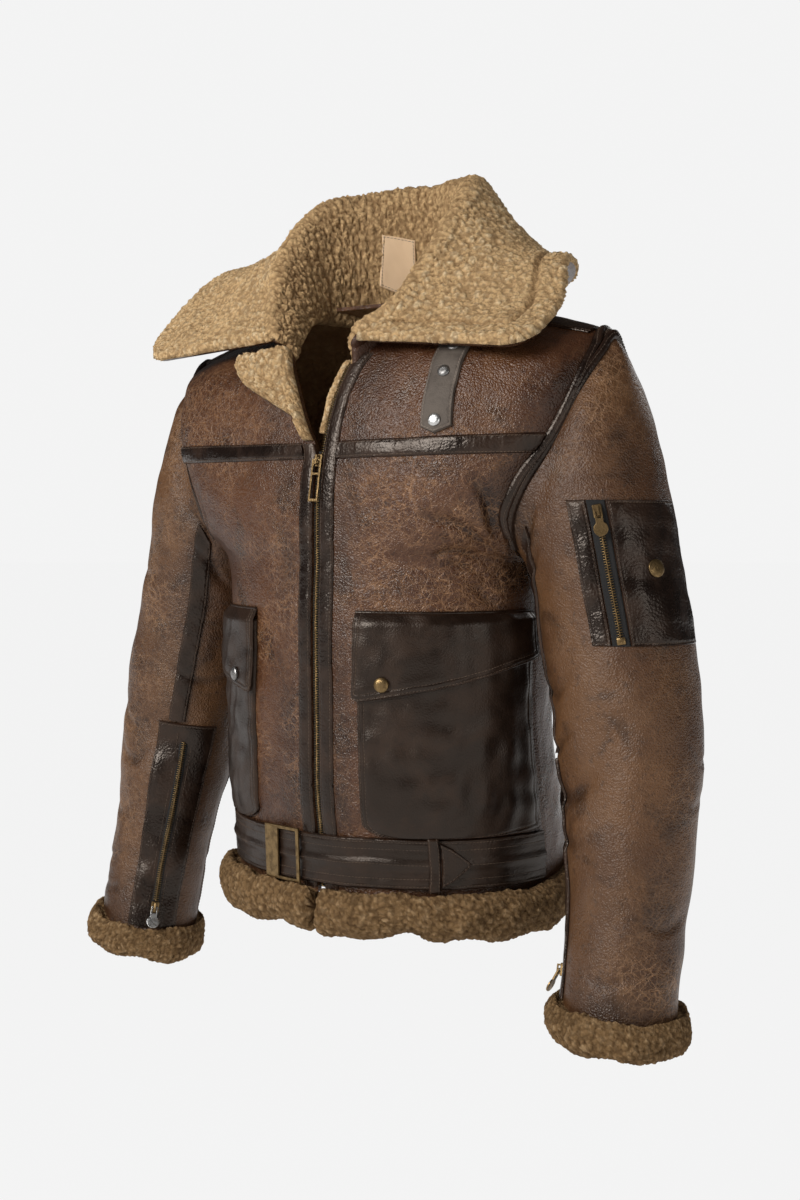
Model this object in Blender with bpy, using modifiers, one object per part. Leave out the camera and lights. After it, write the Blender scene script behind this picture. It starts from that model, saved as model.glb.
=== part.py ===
"""A shearling tank jacket, filled out with no wearer: a hollow leather body and sleeves with fleece
turned out at the collar, lapel, hem and cuffs.

Metres, +Z up. The jacket faces -Y and its wearer's left is +X. The origin is at the level of the
side neck, on the mid-line, where a pair of shoulders carries the jacket.
"""

import bpy
import bmesh
import numpy as np
from math import cos, sin, pi, radians
from mathutils import Matrix, Vector

# ---- driving sizes ----
GAP = 0.0003            # clearance between neighbouring pieces
BODY_WALL = 0.005       # shearling: skin and clipped wool
SLEEVE_WALL = 0.0045
FLEECE_WALL = 0.011     # turned-out fleece with its full pile
TRIM = 0.0016           # a laid-on leather strip or patch
LEATHER_HEM = -0.572    # height where the body's leather ends
BACK_LIFT = 0.030       # how far the hem rises to the middle of the back
ARMPIT = -0.262
ZIP_X = 0.020           # the front zip runs a little to the wearer's left
ZIP_TOP = -0.158        # height of the slider: the zip is open above it
ZIP_HALF = 0.0048       # from the zip's middle to a front's edge
PLACKET = 0.016         # width of the dark strip beside the zip
YOKE_RISES = (1.47, 1.50, 1.53)
WELT_WIDTHS = (0.0006, 0.0055, 0.0110)  # from the armhole seam out to a welt's edge
WELT_LIFT = 0.0024
WELT_PEAK = 0.0009      # how much further it stands off where it crosses the shoulder
SEAM_REACH = 0.007      # grid points this close to an armhole share its mitre
WELT_TURN = -54         # the welt stops short of the underarm
WELT_HEIGHTS = (0.0012, 0.0034, 0.0012, 0.0012, 0.0034, 0.0012)
BELT_TOP = -0.519
BELT_BOTTOM = -0.567
BELT_LIFTS = (0.0030, 0.0032, 0.0044, 0.0032, 0.0030)  # its thickness, with a ridge along its middle
BUCKLE = {
    "left": 0.000, "right": -0.047, "bar": 0.018, "thin": 0.004, "rail": 0.003, "over": 0.0035,
    "thick": 0.0022,
}
KEEPER = {"x": 0.127, "half": 0.004, "below": 0.0028, "above": 0.0016, "thick": 0.0018}
TIP = {"reach": (0.0044, 0.012, 0.0235), "spread": (0.0225, 0.0130, 0.0012), "thick": 0.0022}
STUD_DOME = ((0.28, 0.38), (0.32, 0.12))  # a stud's insets and rises, as shares of its radius and height
SLIDER = {"half_width": 0.0042, "half_length": 0.0060, "plate": 0.0036, "arch": 0.0012, "top": 0.0079}
ARCH = {"end": 0.0047, "post": 0.0031, "foot": 0.003, "roof": 0.0010}
PIN = 0.0053            # height of a pull's axis above the slider's foot
PULL = 0.0016           # thickness of a pull
POCKET = {"front": 0.068, "top": -0.318, "bottom": -0.5178, "depth": 0.0035}
FLAP = {"top": -0.307, "front_drop": -0.391, "side_drop": -0.350, "lift": 0.0060, "thick": 0.0026}
STRAP_X = 0.142
STRAP_HALF = 0.015
SNAP_HEIGHTS = (-0.130, -0.0865, -0.0640)
SLEEVE_POCKET = {"top": -0.203, "bottom": -0.333, "turns": (9.5, 24.5, 37.5, 106.0)}
SLEEVE_STUD = {"height": -0.264, "turn": 66.5, "lift": 0.0037, "radius": 0.0085, "tall": 0.003}
CUFF_OPENING = {"top": -0.441, "turns": (-18.0, -42.5, -51.5, -76.0)}
SIDES = {"left": 1, "right": -1}
SEAM_TURNS = (-44.0, -40.0, -36.0, -32.0, -28.0)  # across the front seam strip, round a sleeve
SEAM_LIFT = 0.0012      # the seam strip rides over the sleeve's doubled seam
CUFF_TURN = {"left": -32.0, "right": 0.0}  # how far each sleeve hangs twisted inwards at its cuff
TWIST_RUN = 0.55        # how far down a sleeve its twist is complete

LOW_ROWS = 12           # grid rows from hem to armpit
HIGH_ROWS = 10          # grid rows from armpit to shoulder seam
BODY_COLUMNS = 10       # grid columns from a front edge to the side seam
TURNS = 2 * HIGH_ROWS   # points round an armhole and a sleeve
SLEEVE_ROWS = 19

DARK_GLOSS = (0.030, 0.017, 0.013, 1.0)
CHOCOLATE = (0.040, 0.024, 0.018, 1.0)
LEATHER = (0.120, 0.048, 0.020, 1.0)
STRAP_GREY = (0.110, 0.095, 0.085, 1.0)
FLEECE = (0.520, 0.340, 0.180, 1.0)
DARK_FLEECE = (0.210, 0.120, 0.055, 1.0)
BRASS = (0.330, 0.220, 0.090, 1.0)
SILVER = (0.750, 0.740, 0.720, 1.0)
TAPE = (0.010, 0.008, 0.007, 1.0)
LABEL_TAN = (0.600, 0.400, 0.220, 1.0)


# ---- tables ----
def table(columns, *rows):
    return dict(zip(columns.split(), np.array(rows, dtype=float).T))


def smooth(xs, ys, x):
    """A cubic through the points, with the slope of their neighbours at each."""
    slopes = np.gradient(ys, xs)
    x = np.clip(x, xs[0], xs[-1])
    i = np.clip(np.searchsorted(xs, x) - 1, 0, len(xs) - 2)
    h = xs[i + 1] - xs[i]
    t = (x - xs[i]) / h
    return (
        (2 * t**3 - 3 * t**2 + 1) * ys[i]
        + (t**3 - 2 * t**2 + t) * h * slopes[i]
        + (3 * t**2 - 2 * t**3) * ys[i + 1]
        + (t**3 - t**2) * h * slopes[i + 1]
    )


def look_up(rows, key, value, *columns):
    return np.array([smooth(rows[key], rows[name], value) for name in columns])


TORSO = table(
    "z half_width front back centre_y",
    (-0.580, 0.179, 0.146, 0.161, 0.018),
    (-0.540, 0.179, 0.146, 0.160, 0.018),
    (-0.480, 0.180, 0.143, 0.147, 0.008),
    (-0.420, 0.178, 0.137, 0.134, 0.001),
    (-0.360, 0.177, 0.138, 0.136, 0.001),
    (-0.300, 0.178, 0.139, 0.136, 0.002),
    (-0.262, 0.182, 0.139, 0.136, 0.004),
)

# Round the armhole: -90 is the underarm, 0 the front, 90 the shoulder point, -180 the back.
ARMHOLE = table(
    "turn x y z",
    (-270, 0.256, 0.004, -0.046),
    (-225, 0.250, 0.042, -0.088),
    (-180, 0.231, 0.066, -0.155),
    (-150, 0.202, 0.070, -0.208),
    (-120, 0.186, 0.046, -0.248),
    (-90, 0.182, 0.004, -0.262),
    (-60, 0.184, -0.042, -0.246),
    (-30, 0.193, -0.066, -0.203),
    (0, 0.226, -0.050, -0.150),
    (45, 0.249, -0.026, -0.086),
    (90, 0.256, 0.004, -0.046),
)

# The inner edge of each panel above the armpit; rise 1 is the armpit, 2 the shoulder seam.
FRONT_EDGE = {
    "left": table(
        "rise x y z",
        (1.0, 0.020, -0.136, -0.262),
        (1.5, 0.021, -0.128, -0.155),
        (1.7, 0.026, -0.112, -0.095),
        (1.8, 0.036, -0.095, -0.062),
        (1.9, 0.062, -0.058, -0.028),
        (2.0, 0.085, 0.004, 0.002),
    ),
    "right": table(
        "rise x y z",
        (1.0, 0.020, -0.136, -0.262),
        (1.5, 0.017, -0.128, -0.155),
        (1.7, -0.016, -0.112, -0.098),
        (1.8, -0.040, -0.094, -0.062),
        (1.9, -0.064, -0.058, -0.028),
        (2.0, -0.085, 0.004, 0.002),
    ),
}
NECK_RISE = 1.8         # where the back's neckline leaves its mid-line
BACK_EDGE = table(
    "rise x y z",
    (1.0, 0.000, 0.141, -0.262),
    (1.5, 0.000, 0.133, -0.135),
    (1.8, 0.000, 0.108, -0.045),
    (1.9, 0.048, 0.074, -0.014),
    (2.0, 0.085, 0.004, 0.002),
)

# The sleeve's rings: the ends of each ring's long axis, its middle and half its depth.
SLEEVE = table(
    "along outer_x outer_z inner_x inner_z centre_y depth",
    (0.00, 0.256, -0.046, 0.182, -0.262, 0.004, 0.072),
    (0.06, 0.273, -0.068, 0.184, -0.270, 0.004, 0.072),
    (0.13, 0.290, -0.116, 0.187, -0.280, 0.005, 0.072),
    (0.22, 0.308, -0.184, 0.190, -0.296, 0.006, 0.071),
    (0.32, 0.323, -0.256, 0.194, -0.322, 0.006, 0.069),
    (0.45, 0.343, -0.345, 0.206, -0.378, 0.002, 0.067),
    (0.58, 0.354, -0.430, 0.222, -0.452, -0.005, 0.063),
    (0.70, 0.354, -0.505, 0.2355, -0.522, -0.016, 0.057),
    (0.82, 0.351, -0.572, 0.2455, -0.585, -0.028, 0.0535),
    (1.00, 0.352, -0.652, 0.249, -0.662, -0.046, 0.0515),
)
CUFF_SLANT = {"left": -0.010, "right": 0.004}  # how far the cuff's outer side drops below its inner
SEAM_DRAW = 0.00055     # how far a sleeve's pieces are drawn back from its seams
SEAM_COLUMN = 3         # grid columns from the underarm to the front and back seams of a sleeve

# The collar from the wearer's left front round the back to the right front: where its band starts at
# the neckline, where it folds over, where its free edge lies, and how far the leaf sags between.
COLLAR = table(
    "station base_x base_y base_z ridge_x ridge_y ridge_z edge_x edge_y edge_z sag",
    (0, 0.038, -0.103, -0.062, 0.050, -0.110, -0.044, 0.222, -0.0845, -0.065, 0.000),
    (1, 0.058, -0.066, -0.030, 0.082, -0.074, -0.006, 0.222, -0.025, -0.024, 0.004),
    (2, 0.074, -0.028, -0.006, 0.098, -0.034, 0.052, 0.205, 0.015, 0.022, 0.010),
    (3, 0.0740, 0.006, -0.003, 0.092, 0.016, 0.102, 0.180, 0.070, 0.024, 0.012),
    (4, 0.0565, 0.037, -0.009, 0.062, 0.062, 0.120, 0.120, 0.135, 0.020, 0.012),
    (5, 0.000, 0.0910, -0.047, 0.000, 0.088, 0.122, 0.000, 0.165, 0.010, 0.010),
    (6, -0.0565, 0.037, -0.009, -0.062, 0.062, 0.120, -0.120, 0.135, 0.020, 0.012),
    (7, -0.0740, 0.006, -0.003, -0.098, 0.016, 0.104, -0.185, 0.070, 0.045, 0.008),
    (8, -0.074, -0.028, -0.006, -0.106, -0.034, 0.055, -0.228, 0.005, 0.045, 0.004),
    (9, -0.062, -0.062, -0.026, -0.088, -0.072, -0.004, -0.264, -0.042, -0.010, 0.002),
    (10, -0.050, -0.086, -0.050, -0.066, -0.099, -0.038, -0.264, -0.078, -0.050, 0.000),
)

# The wearer's right lapel: how far out it reaches at each height.
LAPEL_REACH = ((-0.145, -0.125, -0.105, -0.085, -0.065), (0.004, -0.014, -0.057, -0.098, -0.120))

# Sections of the fleece rolls, outwards and upwards from the leather's edge.
HEM_SECTION = (
    (-0.006, -0.0016), (0.004, -0.0016), (0.0115, 0.0020), (0.0190, -0.007), (0.0210, -0.023),
    (0.0150, -0.038), (0.0030, -0.044), (-0.008, -0.036), (-0.0105, -0.016),
)
HEM_SHOULDER = -0.01    # below this height a pinch also shortens the roll
CUFF_SECTION = (
    (-0.006, -0.0010), (0.003, -0.0010), (0.0080, 0.0020), (0.0118, -0.007), (0.0120, -0.021),
    (0.0070, -0.030), (-0.0020, -0.032), (-0.0080, -0.024), (-0.0090, -0.010),
)
# Where the hem's roll is pinched: how far round it, over what reach, and by how much.
HEM_NOTCHES = (
    (0.085, 0.016, 0.22), (0.955, 0.016, 0.20), (0.30, 0.02, 0.15), (0.52, 0.02, 0.15), (0.74, 0.02, 0.16),
)
# How far the belt stands off each front, by step: it rises over the placket and the buckle's fold.
BELT_BASE = {
    "left": ((0.0, 0.09, 0.14, 1.0), (0.0028, 0.0028, 0.0007, 0.0007)),
    "right": ((0.0, 0.34, 0.44, 1.0), (0.0028, 0.0028, 0.0007, 0.0007)),
}
STRAP_LIFT = 0.0009
STRAP_THICK = 0.0028
STRAP_TOP = 1.83
CUFF_PULL_TILT = -0.42
LABEL_PLACES = ((0.68, 5.60), (1.06, 5.60), (1.44, 5.61))  # up the collar's inside, and round it
LABEL_HALF = 0.26

# The largest folds of a sleeve and of a front: middle, half length and half width, depth, and slant.
SLEEVE_FOLDS = table(
    "along turn half_width half_length depth slant",
    (0.10, 10, 0.030, 70, 0.0030, 0.0004),
    (0.52, -20, 0.026, 75, 0.0040, 0.0005),
    (0.60, -30, 0.024, 80, 0.0045, -0.0004),
    (0.68, -10, 0.022, 70, 0.0030, 0.0005),
    (0.57, 170, 0.024, 60, 0.0025, 0.0003),
    (0.84, 0, 0.024, 90, 0.0020, 0.0006),
    (0.92, 150, 0.020, 70, 0.0020, -0.0005),
)
BODY_FOLDS = table(
    "rise across half_width half_length depth slant",
    (1.12, 0.72, 0.055, 0.28, 0.0045, 0.35),
    (0.98, 0.80, 0.050, 0.22, 0.0035, 0.45),
    (0.80, 0.86, 0.060, 0.20, 0.0030, 0.30),
    (1.66, 0.80, 0.050, 0.20, 0.0025, -0.40),
)


def folds(rows, key, other, place, across):
    """How far the folds push a point in, as soft troughs with a lesser ridge beside each."""
    total = 0.0
    for i in range(len(rows[key])):
        run = (across - rows[other][i]) / rows["half_length"][i]
        off = place - rows[key][i] - rows["slant"][i] * (across - rows[other][i])
        off /= rows["half_width"][i]
        if abs(run) < 1:
            total += rows["depth"][i] * (1 - run * run) ** 2 * np.exp(-2 * off * off) * (1 - off * off)
    return total


# ---- objects ----
def clear_scene():
    for item in list(bpy.data.objects):
        bpy.data.objects.remove(item, do_unlink=True)


def collection(name):
    made = bpy.data.collections.new(name)
    bpy.context.scene.collection.children.link(made)
    return made


def material(name, colour, roughness, metallic=0.0):
    made = bpy.data.materials.new(name)
    made.use_nodes = True
    shader = made.node_tree.nodes["Principled BSDF"]
    shader.inputs["Base Color"].default_value = colour
    shader.inputs["Roughness"].default_value = roughness
    shader.inputs["Metallic"].default_value = metallic
    return made


def add(name, mesh, finish):
    """Put a mesh in the jacket's collection with a material of its own."""
    colour, roughness, metallic = finish
    made = bpy.data.objects.new(name, mesh)
    mesh.materials.append(material(name, colour, roughness, metallic))
    for polygon in mesh.polygons:
        polygon.use_smooth = True
    mesh.set_sharp_from_angle(angle=radians(40))
    jacket.objects.link(made)
    return made


def loft(name, outer, inner, finish, closed=False):
    """A wall between two grids, with its edges closed; closed joins the last column to the first."""
    rows, columns, _ = outer.shape
    count = rows * columns
    faces = []
    spans = range(columns if closed else columns - 1)

    def corner(layer, row, column):
        return layer * count + row * columns + column % columns

    for r in range(rows - 1):
        for c in spans:
            quad = [(r, c), (r, c + 1), (r + 1, c + 1), (r + 1, c)]
            faces.append([corner(0, *p) for p in quad])
            faces.append([corner(1, *p) for p in reversed(quad)])
    for c in spans:
        for r, step in ((0, 1), (rows - 1, -1)):
            ends = [(0, c), (1, c), (1, c + 1), (0, c + 1)][::step]
            faces.append([corner(layer, r, column) for layer, column in ends])
    if not closed:
        for r in range(rows - 1):
            for c, step in ((0, -1), (columns - 1, 1)):
                ends = [(0, r), (1, r), (1, r + 1), (0, r + 1)][::step]
                faces.append([corner(layer, row, c) for layer, row in ends])
    mesh = bpy.data.meshes.new(name)
    points = np.concatenate([outer.reshape(-1, 3), inner.reshape(-1, 3)])
    mesh.from_pydata([tuple(p) for p in points], [], faces)
    work = bmesh.new()
    work.from_mesh(mesh)
    bmesh.ops.recalc_face_normals(work, faces=work.faces)
    work.to_mesh(mesh)
    work.free()
    mesh.validate()
    return add(name, mesh, finish)


def unit(vectors):
    length = np.linalg.norm(vectors, axis=-1, keepdims=True)
    return vectors / np.maximum(length, 1e-12)


def grid_normals(points, closed=False):
    down = np.gradient(points, axis=0)
    if closed:
        across = (np.roll(points, -1, axis=1) - np.roll(points, 1, axis=1)) / 2
    else:
        across = np.gradient(points, axis=1)
    return unit(np.cross(across, down))


class Panel:
    """A curved leather panel, held as a grid of outer points with the way into its wall at each."""

    def __init__(self, points, normals, rises, steps, turn=0.0):
        self.turn = turn
        self.points = points
        self.normals = normals
        self.rises = np.array(rises)
        self.steps = np.array(steps)

    def find(self, lines, value):
        i = int(np.clip(np.searchsorted(lines, value) - 1, 0, len(lines) - 2))
        t = (value - lines[i]) / (lines[i + 1] - lines[i])
        return i, t

    def at(self, rise, step, lift=0.0):
        """A point lifted off the panel, on the same flat facets as the panel itself."""
        r, u = self.find(self.rises, rise)
        c, v = self.find(self.steps, step + self.turn if step < self.steps[0] else step)

        def blend(grid):
            low = grid[r, c] * (1 - v) + grid[r, c + 1] * v
            high = grid[r + 1, c] * (1 - v) + grid[r + 1, c + 1] * v
            return low * (1 - u) + high * u

        return blend(self.points) + unit(blend(self.normals)) * lift

    def lean(self, rise, step):
        """The way out of the panel at a place."""
        return unit(self.at(rise, step, 1.0) - self.at(rise, step))

    def lines(self, values, start, stop):
        """The panel's own grid lines between two places, with the places themselves as ends."""
        low, high = min(start, stop), max(start, stop)
        kept = [v for v in values if low + 1e-4 < v < high - 1e-4]
        found = np.array([low, *kept, high])
        return found if start < stop else found[::-1]

    def near(self, rise, goal, axis):
        """The step at which a row reaches a coordinate."""
        steps = np.linspace(self.steps[0], self.steps[-1], 400)
        reached = [abs(self.at(rise, s)[axis] - goal) for s in steps]
        return float(steps[int(np.argmin(reached))])

    def rise_at(self, height, step):
        """The rise at which a column reaches a height."""
        rises = np.linspace(self.rises[0], self.rises[-1], 400)
        reached = [abs(self.at(r, step)[2] - height) for r in rises]
        return float(rises[int(np.argmin(reached))])


def lay(name, panel, places, finish, lift=GAP, thick=TRIM, crown=0.0):
    """A piece laid on a panel at a grid of (rise, step) places; its middle may be crowned."""
    rows = len(places)
    outer, inner = [], []
    for i, line in enumerate(places):
        up = crown * sin(pi * i / (rows - 1)) if rows > 2 else 0.0
        outer.append([panel.at(r, s, lift + thick + up) for r, s in line])
        inner.append([panel.at(r, s, lift) for r, s in line])
    return loft(name, np.array(outer), np.array(inner), finish)


# ---- the body ----
RISES = np.concatenate([np.linspace(0, 1, LOW_ROWS + 1), 1 + np.arange(1, HIGH_ROWS + 1) / HIGH_ROWS])
STEPS = np.linspace(0, 1, BODY_COLUMNS + 1)


def armhole(turn):
    return look_up(ARMHOLE, "turn", turn, "x", "y", "z")


def hem_height(face, step):
    return LEATHER_HEM + (BACK_LIFT * sin((1 - step) * pi / 2) ** 0.9 if face == "back" else 0.0)


def body_grid(edge_rows, face, side):
    """Rows from hem to shoulder seam, each swept from the panel's inner edge to its side."""
    grid = []
    for rise in RISES:
        row = []
        for step in STEPS:
            sweep = step * pi / 2
            if rise <= 1:
                hem = hem_height(face, step)
                z = hem + (ARMPIT - hem) * rise
                half, front, back, middle = look_up(TORSO, "z", z, "half_width", "front", "back", "centre_y")
                start = np.array([ZIP_X, middle - front, z])
                if face == "back":
                    start = np.array([0, middle + back, z])
                end = np.array([side * half, middle, z])
            else:
                start = look_up(edge_rows, "rise", rise, "x", "y", "z")
                turn = -90 + 180 * (rise - 1)
                end = armhole(turn if face == "front" else -180 - turn) * [side, 1, 1]
                if face == "back":
                    start[0] *= side if rise > NECK_RISE else 0.0
            if face == "front":
                start[0] = (ZIP_X if rise <= 1.5 else start[0]) + side * ZIP_HALF
            reach = sin(sweep)
            level = max(0.0, rise - 1)
            height = step**1.5 * (1 - level) + reach * level
            row.append([
                start[0] + (end[0] - start[0]) * reach,
                end[1] + (start[1] - end[1]) * cos(sweep),
                start[2] + (end[2] - start[2]) * height,
            ])
        grid.append(row)
    return np.array(grid)


def press(points, normals, amount):
    return points - normals * amount[..., None]


def body_panel(face, side_name):
    side = SIDES[side_name]
    points = body_grid(FRONT_EDGE[side_name] if face == "front" else BACK_EDGE, face, side)
    outward = side * (1 if face == "front" else -1)
    normals = grid_normals(points) * outward
    amount = np.array([[folds(BODY_FOLDS, "rise", "across", r, s) for s in STEPS] for r in RISES])
    seam = np.minimum(1, (1 - STEPS) * 6)[None, :] * np.minimum(1, (2 - RISES) * 4)[:, None]
    seam = seam * np.minimum(1, STEPS * 6)[None, :]
    points = press(points, normals, amount * seam * (1 if face == "front" else 0.8))
    normals = grid_normals(points) * outward
    low = RISES <= 1
    normals[low, -1] = unit(np.array([side, 0.0, 0.0]))
    normals[low, 0] = unit(normals[low, 0] * [0, 1, 1])
    if face == "back":
        middle = np.abs(points[:, 0, 0]) < 1e-6
        points[middle, 0, 0] = 0
        normals[middle, 0] = unit(normals[middle, 0] * [0, 1, 1])
    return Panel(points, normals, RISES, STEPS)


def sleeve_ring(along, turn):
    """A point of the sleeve's own oval ring, before it is drawn to the armhole."""
    ox, oz, ix, iz, cy, depth = look_up(
        SLEEVE, "along", along, "outer_x", "outer_z", "inner_x", "inner_z", "centre_y", "depth"
    )
    middle = np.array([(ox + ix) / 2, cy, (oz + iz) / 2])
    axis = np.array([(ox - ix) / 2, 0, (oz - iz) / 2])
    angle = radians(turn)
    return middle + axis * sin(angle) + np.array([0, -depth, 0]) * cos(angle)


def sleeve_panel(side_name):
    """The whole sleeve as one tube; column 0 is the underarm and columns run through the front."""
    side = SIDES[side_name]
    turns = -90 + 360 * np.arange(TURNS) / TURNS
    alongs = np.linspace(0, 1, SLEEVE_ROWS + 1) ** 1.12
    slant = CUFF_SLANT[side_name]
    hole = [armhole(t if t <= 90 else t - 360) for t in turns]
    grid = []
    for along in alongs:
        keep = max(0.0, 1 - along / 0.20) ** 2
        row = []
        for turn, loop in zip(turns, hole):
            tilt = np.array([0, 0, slant * sin(radians(turn)) * along**6])
            row.append(sleeve_ring(along, turn) + (loop - sleeve_ring(0.0, turn)) * keep + tilt)
        grid.append(row)
    points = np.array(grid)
    normals = -grid_normals(points, closed=True)
    amount = np.array([
        [folds(SLEEVE_FOLDS, "along", "turn", a, t) for t in turns] for a in alongs
    ])
    amount *= np.clip(alongs / 0.06, 0, 1)[:, None]
    points = press(points, normals, amount)
    points = points * [side, 1, 1]
    normals = -grid_normals(points, closed=True) * side
    wrap = np.arange(TURNS + 1) % TURNS
    return Panel(points[:, wrap], normals[:, wrap], alongs, np.append(turns, turns[0] + 360), 360.0)


def mitred(first, second):
    """The shared way through two walls that meet at an angle, long enough to keep their thickness."""
    middle = unit(first + second)
    share = np.clip(np.sum(middle * first, axis=-1, keepdims=True), 0.72, 1.0)
    return middle / share


def hem_in(points, amount, rows=(), columns=()):
    """Draw a grid's border rows or columns back from a seam by a small clearance."""
    drawn = points.copy()
    for r, inner in rows:
        drawn[r] += unit(points[inner] - points[r]) * amount
    for c, inner in columns:
        drawn[:, c] += unit(drawn[:, inner] - drawn[:, c]) * amount
    return drawn


clear_scene()
jacket = collection("tank_jacket")

body = {(face, side): body_panel(face, side) for face in ("front", "back") for side in SIDES}
sleeve = {side: sleeve_panel(side) for side in SIDES}


def share_seams():
    """Give neighbouring walls one mitre at the shoulder and armhole seams, the same on both sides."""
    front, back = body["front", "left"], body["back", "left"]
    round_hole = sleeve["left"].normals[0]
    top = mitred(front.normals[-1], back.normals[-1])
    front.normals[-1], back.normals[-1] = top, top
    for i in range(HIGH_ROWS + 1):
        row, j = LOW_ROWS + i, (TURNS - i) % TURNS
        ahead, behind = front.normals[row, -1].copy(), back.normals[row, -1].copy()
        if i == 0:
            ahead = behind = unit(ahead + behind)
        for spot in {i, j}:
            if np.dot(ahead if spot == i else behind, round_hole[spot]) < 0.1:
                round_hole[spot] = sleeve["left"].normals[1, spot] = sleeve["left"].normals[2, spot]
            elif spot == i:
                ahead = round_hole[i] = mitred(ahead, round_hole[i])
            else:
                behind = round_hole[j] = mitred(behind, round_hole[j])
        if j == i:
            behind = ahead
        for panel, way in ((front, ahead), (back, behind)):
            panel.normals[row, -1] = way
            for column in range(-2, -5, -1):
                if np.linalg.norm(panel.points[row, column] - panel.points[row, -1]) < SEAM_REACH:
                    panel.normals[row, column] = way
    round_hole[TURNS] = round_hole[0]
    sleeve["left"].normals[1] = unit(unit(round_hole) + sleeve["left"].normals[1])
    back.normals[-1, -1] = front.normals[-1, -1]
    other = np.array([-1, 1, 1])
    for face in ("front", "back"):
        body[face, "right"].normals[LOW_ROWS:, -4:] = body[face, "left"].normals[LOW_ROWS:, -4:] * other
        body[face, "right"].normals[-1] = body[face, "left"].normals[-1] * other
    sleeve["right"].normals[:2] = sleeve["left"].normals[:2] * other


share_seams()


def wall_of(panel, wall, only=slice(None), drawn=GAP, **borders):
    inner = panel.points - panel.normals * wall
    return [hem_in(grid[:, only], drawn, **borders) for grid in (panel.points, inner)]


def build_body():
    finish = (LEATHER, 0.5, 0.0)
    borders = {"rows": [(-1, -2)], "columns": [(-1, -2)]}
    for side in SIDES:
        loft(f"front_{side}", *wall_of(body["front", side], BODY_WALL, **borders), finish)
    half = loft("back", *wall_of(body["back", "left"], BODY_WALL, **borders), finish)
    work = bmesh.new()
    work.from_mesh(half.data)
    middle = [f for f in work.faces if all(abs(v.co.x) < 1e-5 for v in f.verts)]
    bmesh.ops.delete(work, geom=middle, context="FACES")
    work.to_mesh(half.data)
    work.free()
    mirror = half.modifiers.new("Other half", "MIRROR")
    mirror.merge_threshold = 0.0001


def build_sleeves():
    finish = (LEATHER, 0.5, 0.0)
    borders = {"rows": [(0, 1)], "columns": [(0, 1), (-1, -2)]}
    front, back = SEAM_COLUMN, TURNS - SEAM_COLUMN
    parts = {
        "sleeve_top": np.arange(front, back + 1),
        "sleeve_under": np.arange(back, TURNS + front + 1) % TURNS,
    }
    for side in SIDES:
        for name, columns in parts.items():
            loft(f"{name}_{side}", *wall_of(sleeve[side], SLEEVE_WALL, columns, SEAM_DRAW, **borders), finish)


# ---- trims laid on the body ----
def step_along(panel, rise, distance):
    """The step that lies a distance from a panel's inner edge along a row."""
    steps = np.linspace(0, 1, 120)
    points = np.array([panel.at(rise, step) for step in steps])
    run = np.concatenate([[0], np.cumsum(np.linalg.norm(np.diff(points, axis=0), axis=1))])
    return float(np.interp(distance, run, steps))


def step_back(panel, rise, distance):
    """The step that lies a distance from a panel's armhole edge along a row."""
    steps = np.linspace(1, 0.4, 120)
    points = np.array([panel.at(rise, step) for step in steps])
    run = np.concatenate([[0], np.cumsum(np.linalg.norm(np.diff(points, axis=0), axis=1))])
    return float(np.interp(distance, run, steps))


def along_out(panel, turn, distance):
    """How far along a sleeve lies a distance from the armhole at a turn."""
    alongs = np.linspace(0, 0.3, 120)
    points = np.array([panel.at(along, turn) for along in alongs])
    run = np.concatenate([[0], np.cumsum(np.linalg.norm(np.diff(points, axis=0), axis=1))])
    return float(np.interp(distance, run, alongs))


def band(panel, rises, start, stop, count):
    """Places for a strip that follows a panel's rows, between two steps that may vary with the rise."""
    places = []
    for rise in rises:
        first = start(rise) if callable(start) else start
        last = stop(rise) if callable(stop) else stop
        places.append([(rise, first + (last - first) * k / (count - 1)) for k in range(count)])
    return np.array(places)


def build_plackets():
    for side, top in (("left", 1.8), ("right", 1.525)):
        panel = body["front", side]
        rises = panel.lines(RISES, 0.0, top)
        places = band(panel, rises, 0.0, lambda rise: step_along(panel, rise, PLACKET), 3)
        lay(f"placket_{side}", panel, places, (DARK_GLOSS, 0.3, 0.0), crown=0.0006)


def build_yokes():
    for side in SIDES:
        panel = body["front", side]
        first = step_along(panel, 1.5, PLACKET + 2 * GAP)
        steps = panel.lines(STEPS, first, step_back(panel, 1.5, WELT_WIDTHS[-1] + 0.002))
        places = np.array([[(rise, step) for step in steps] for rise in YOKE_RISES])
        lay(f"yoke_strip_{side}", panel, places, (DARK_GLOSS, 0.3, 0.0), crown=0.0008)


def build_shoulder_strips():
    """A strip that saddles the shoulder seam, half on the front and half on the back."""
    for side in SIDES:
        front, back = body["front", side], body["back", side]
        outer, inner = [], []
        for step in front.lines(STEPS, 0.10, step_back(front, 2.0, WELT_WIDTHS[-1] + 0.002)):
            way = unit(front.normals[-1, 0] + back.normals[-1, 0])
            row = []
            for panel, rise in ((front, 1.955), (front, 2.0), (back, 1.955)):
                row.append((panel.at(rise, step), panel.lean(rise, step)))
            outer.append([p + n * (GAP * 2 + h) for (p, n), h in zip(row, (0.0012, 0.0022, 0.0012))])
            inner.append([p + n * GAP * 2 for p, n in row])
        loft(f"shoulder_strip_{side}", np.array(outer), np.array(inner), (DARK_GLOSS, 0.3, 0.0))


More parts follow.
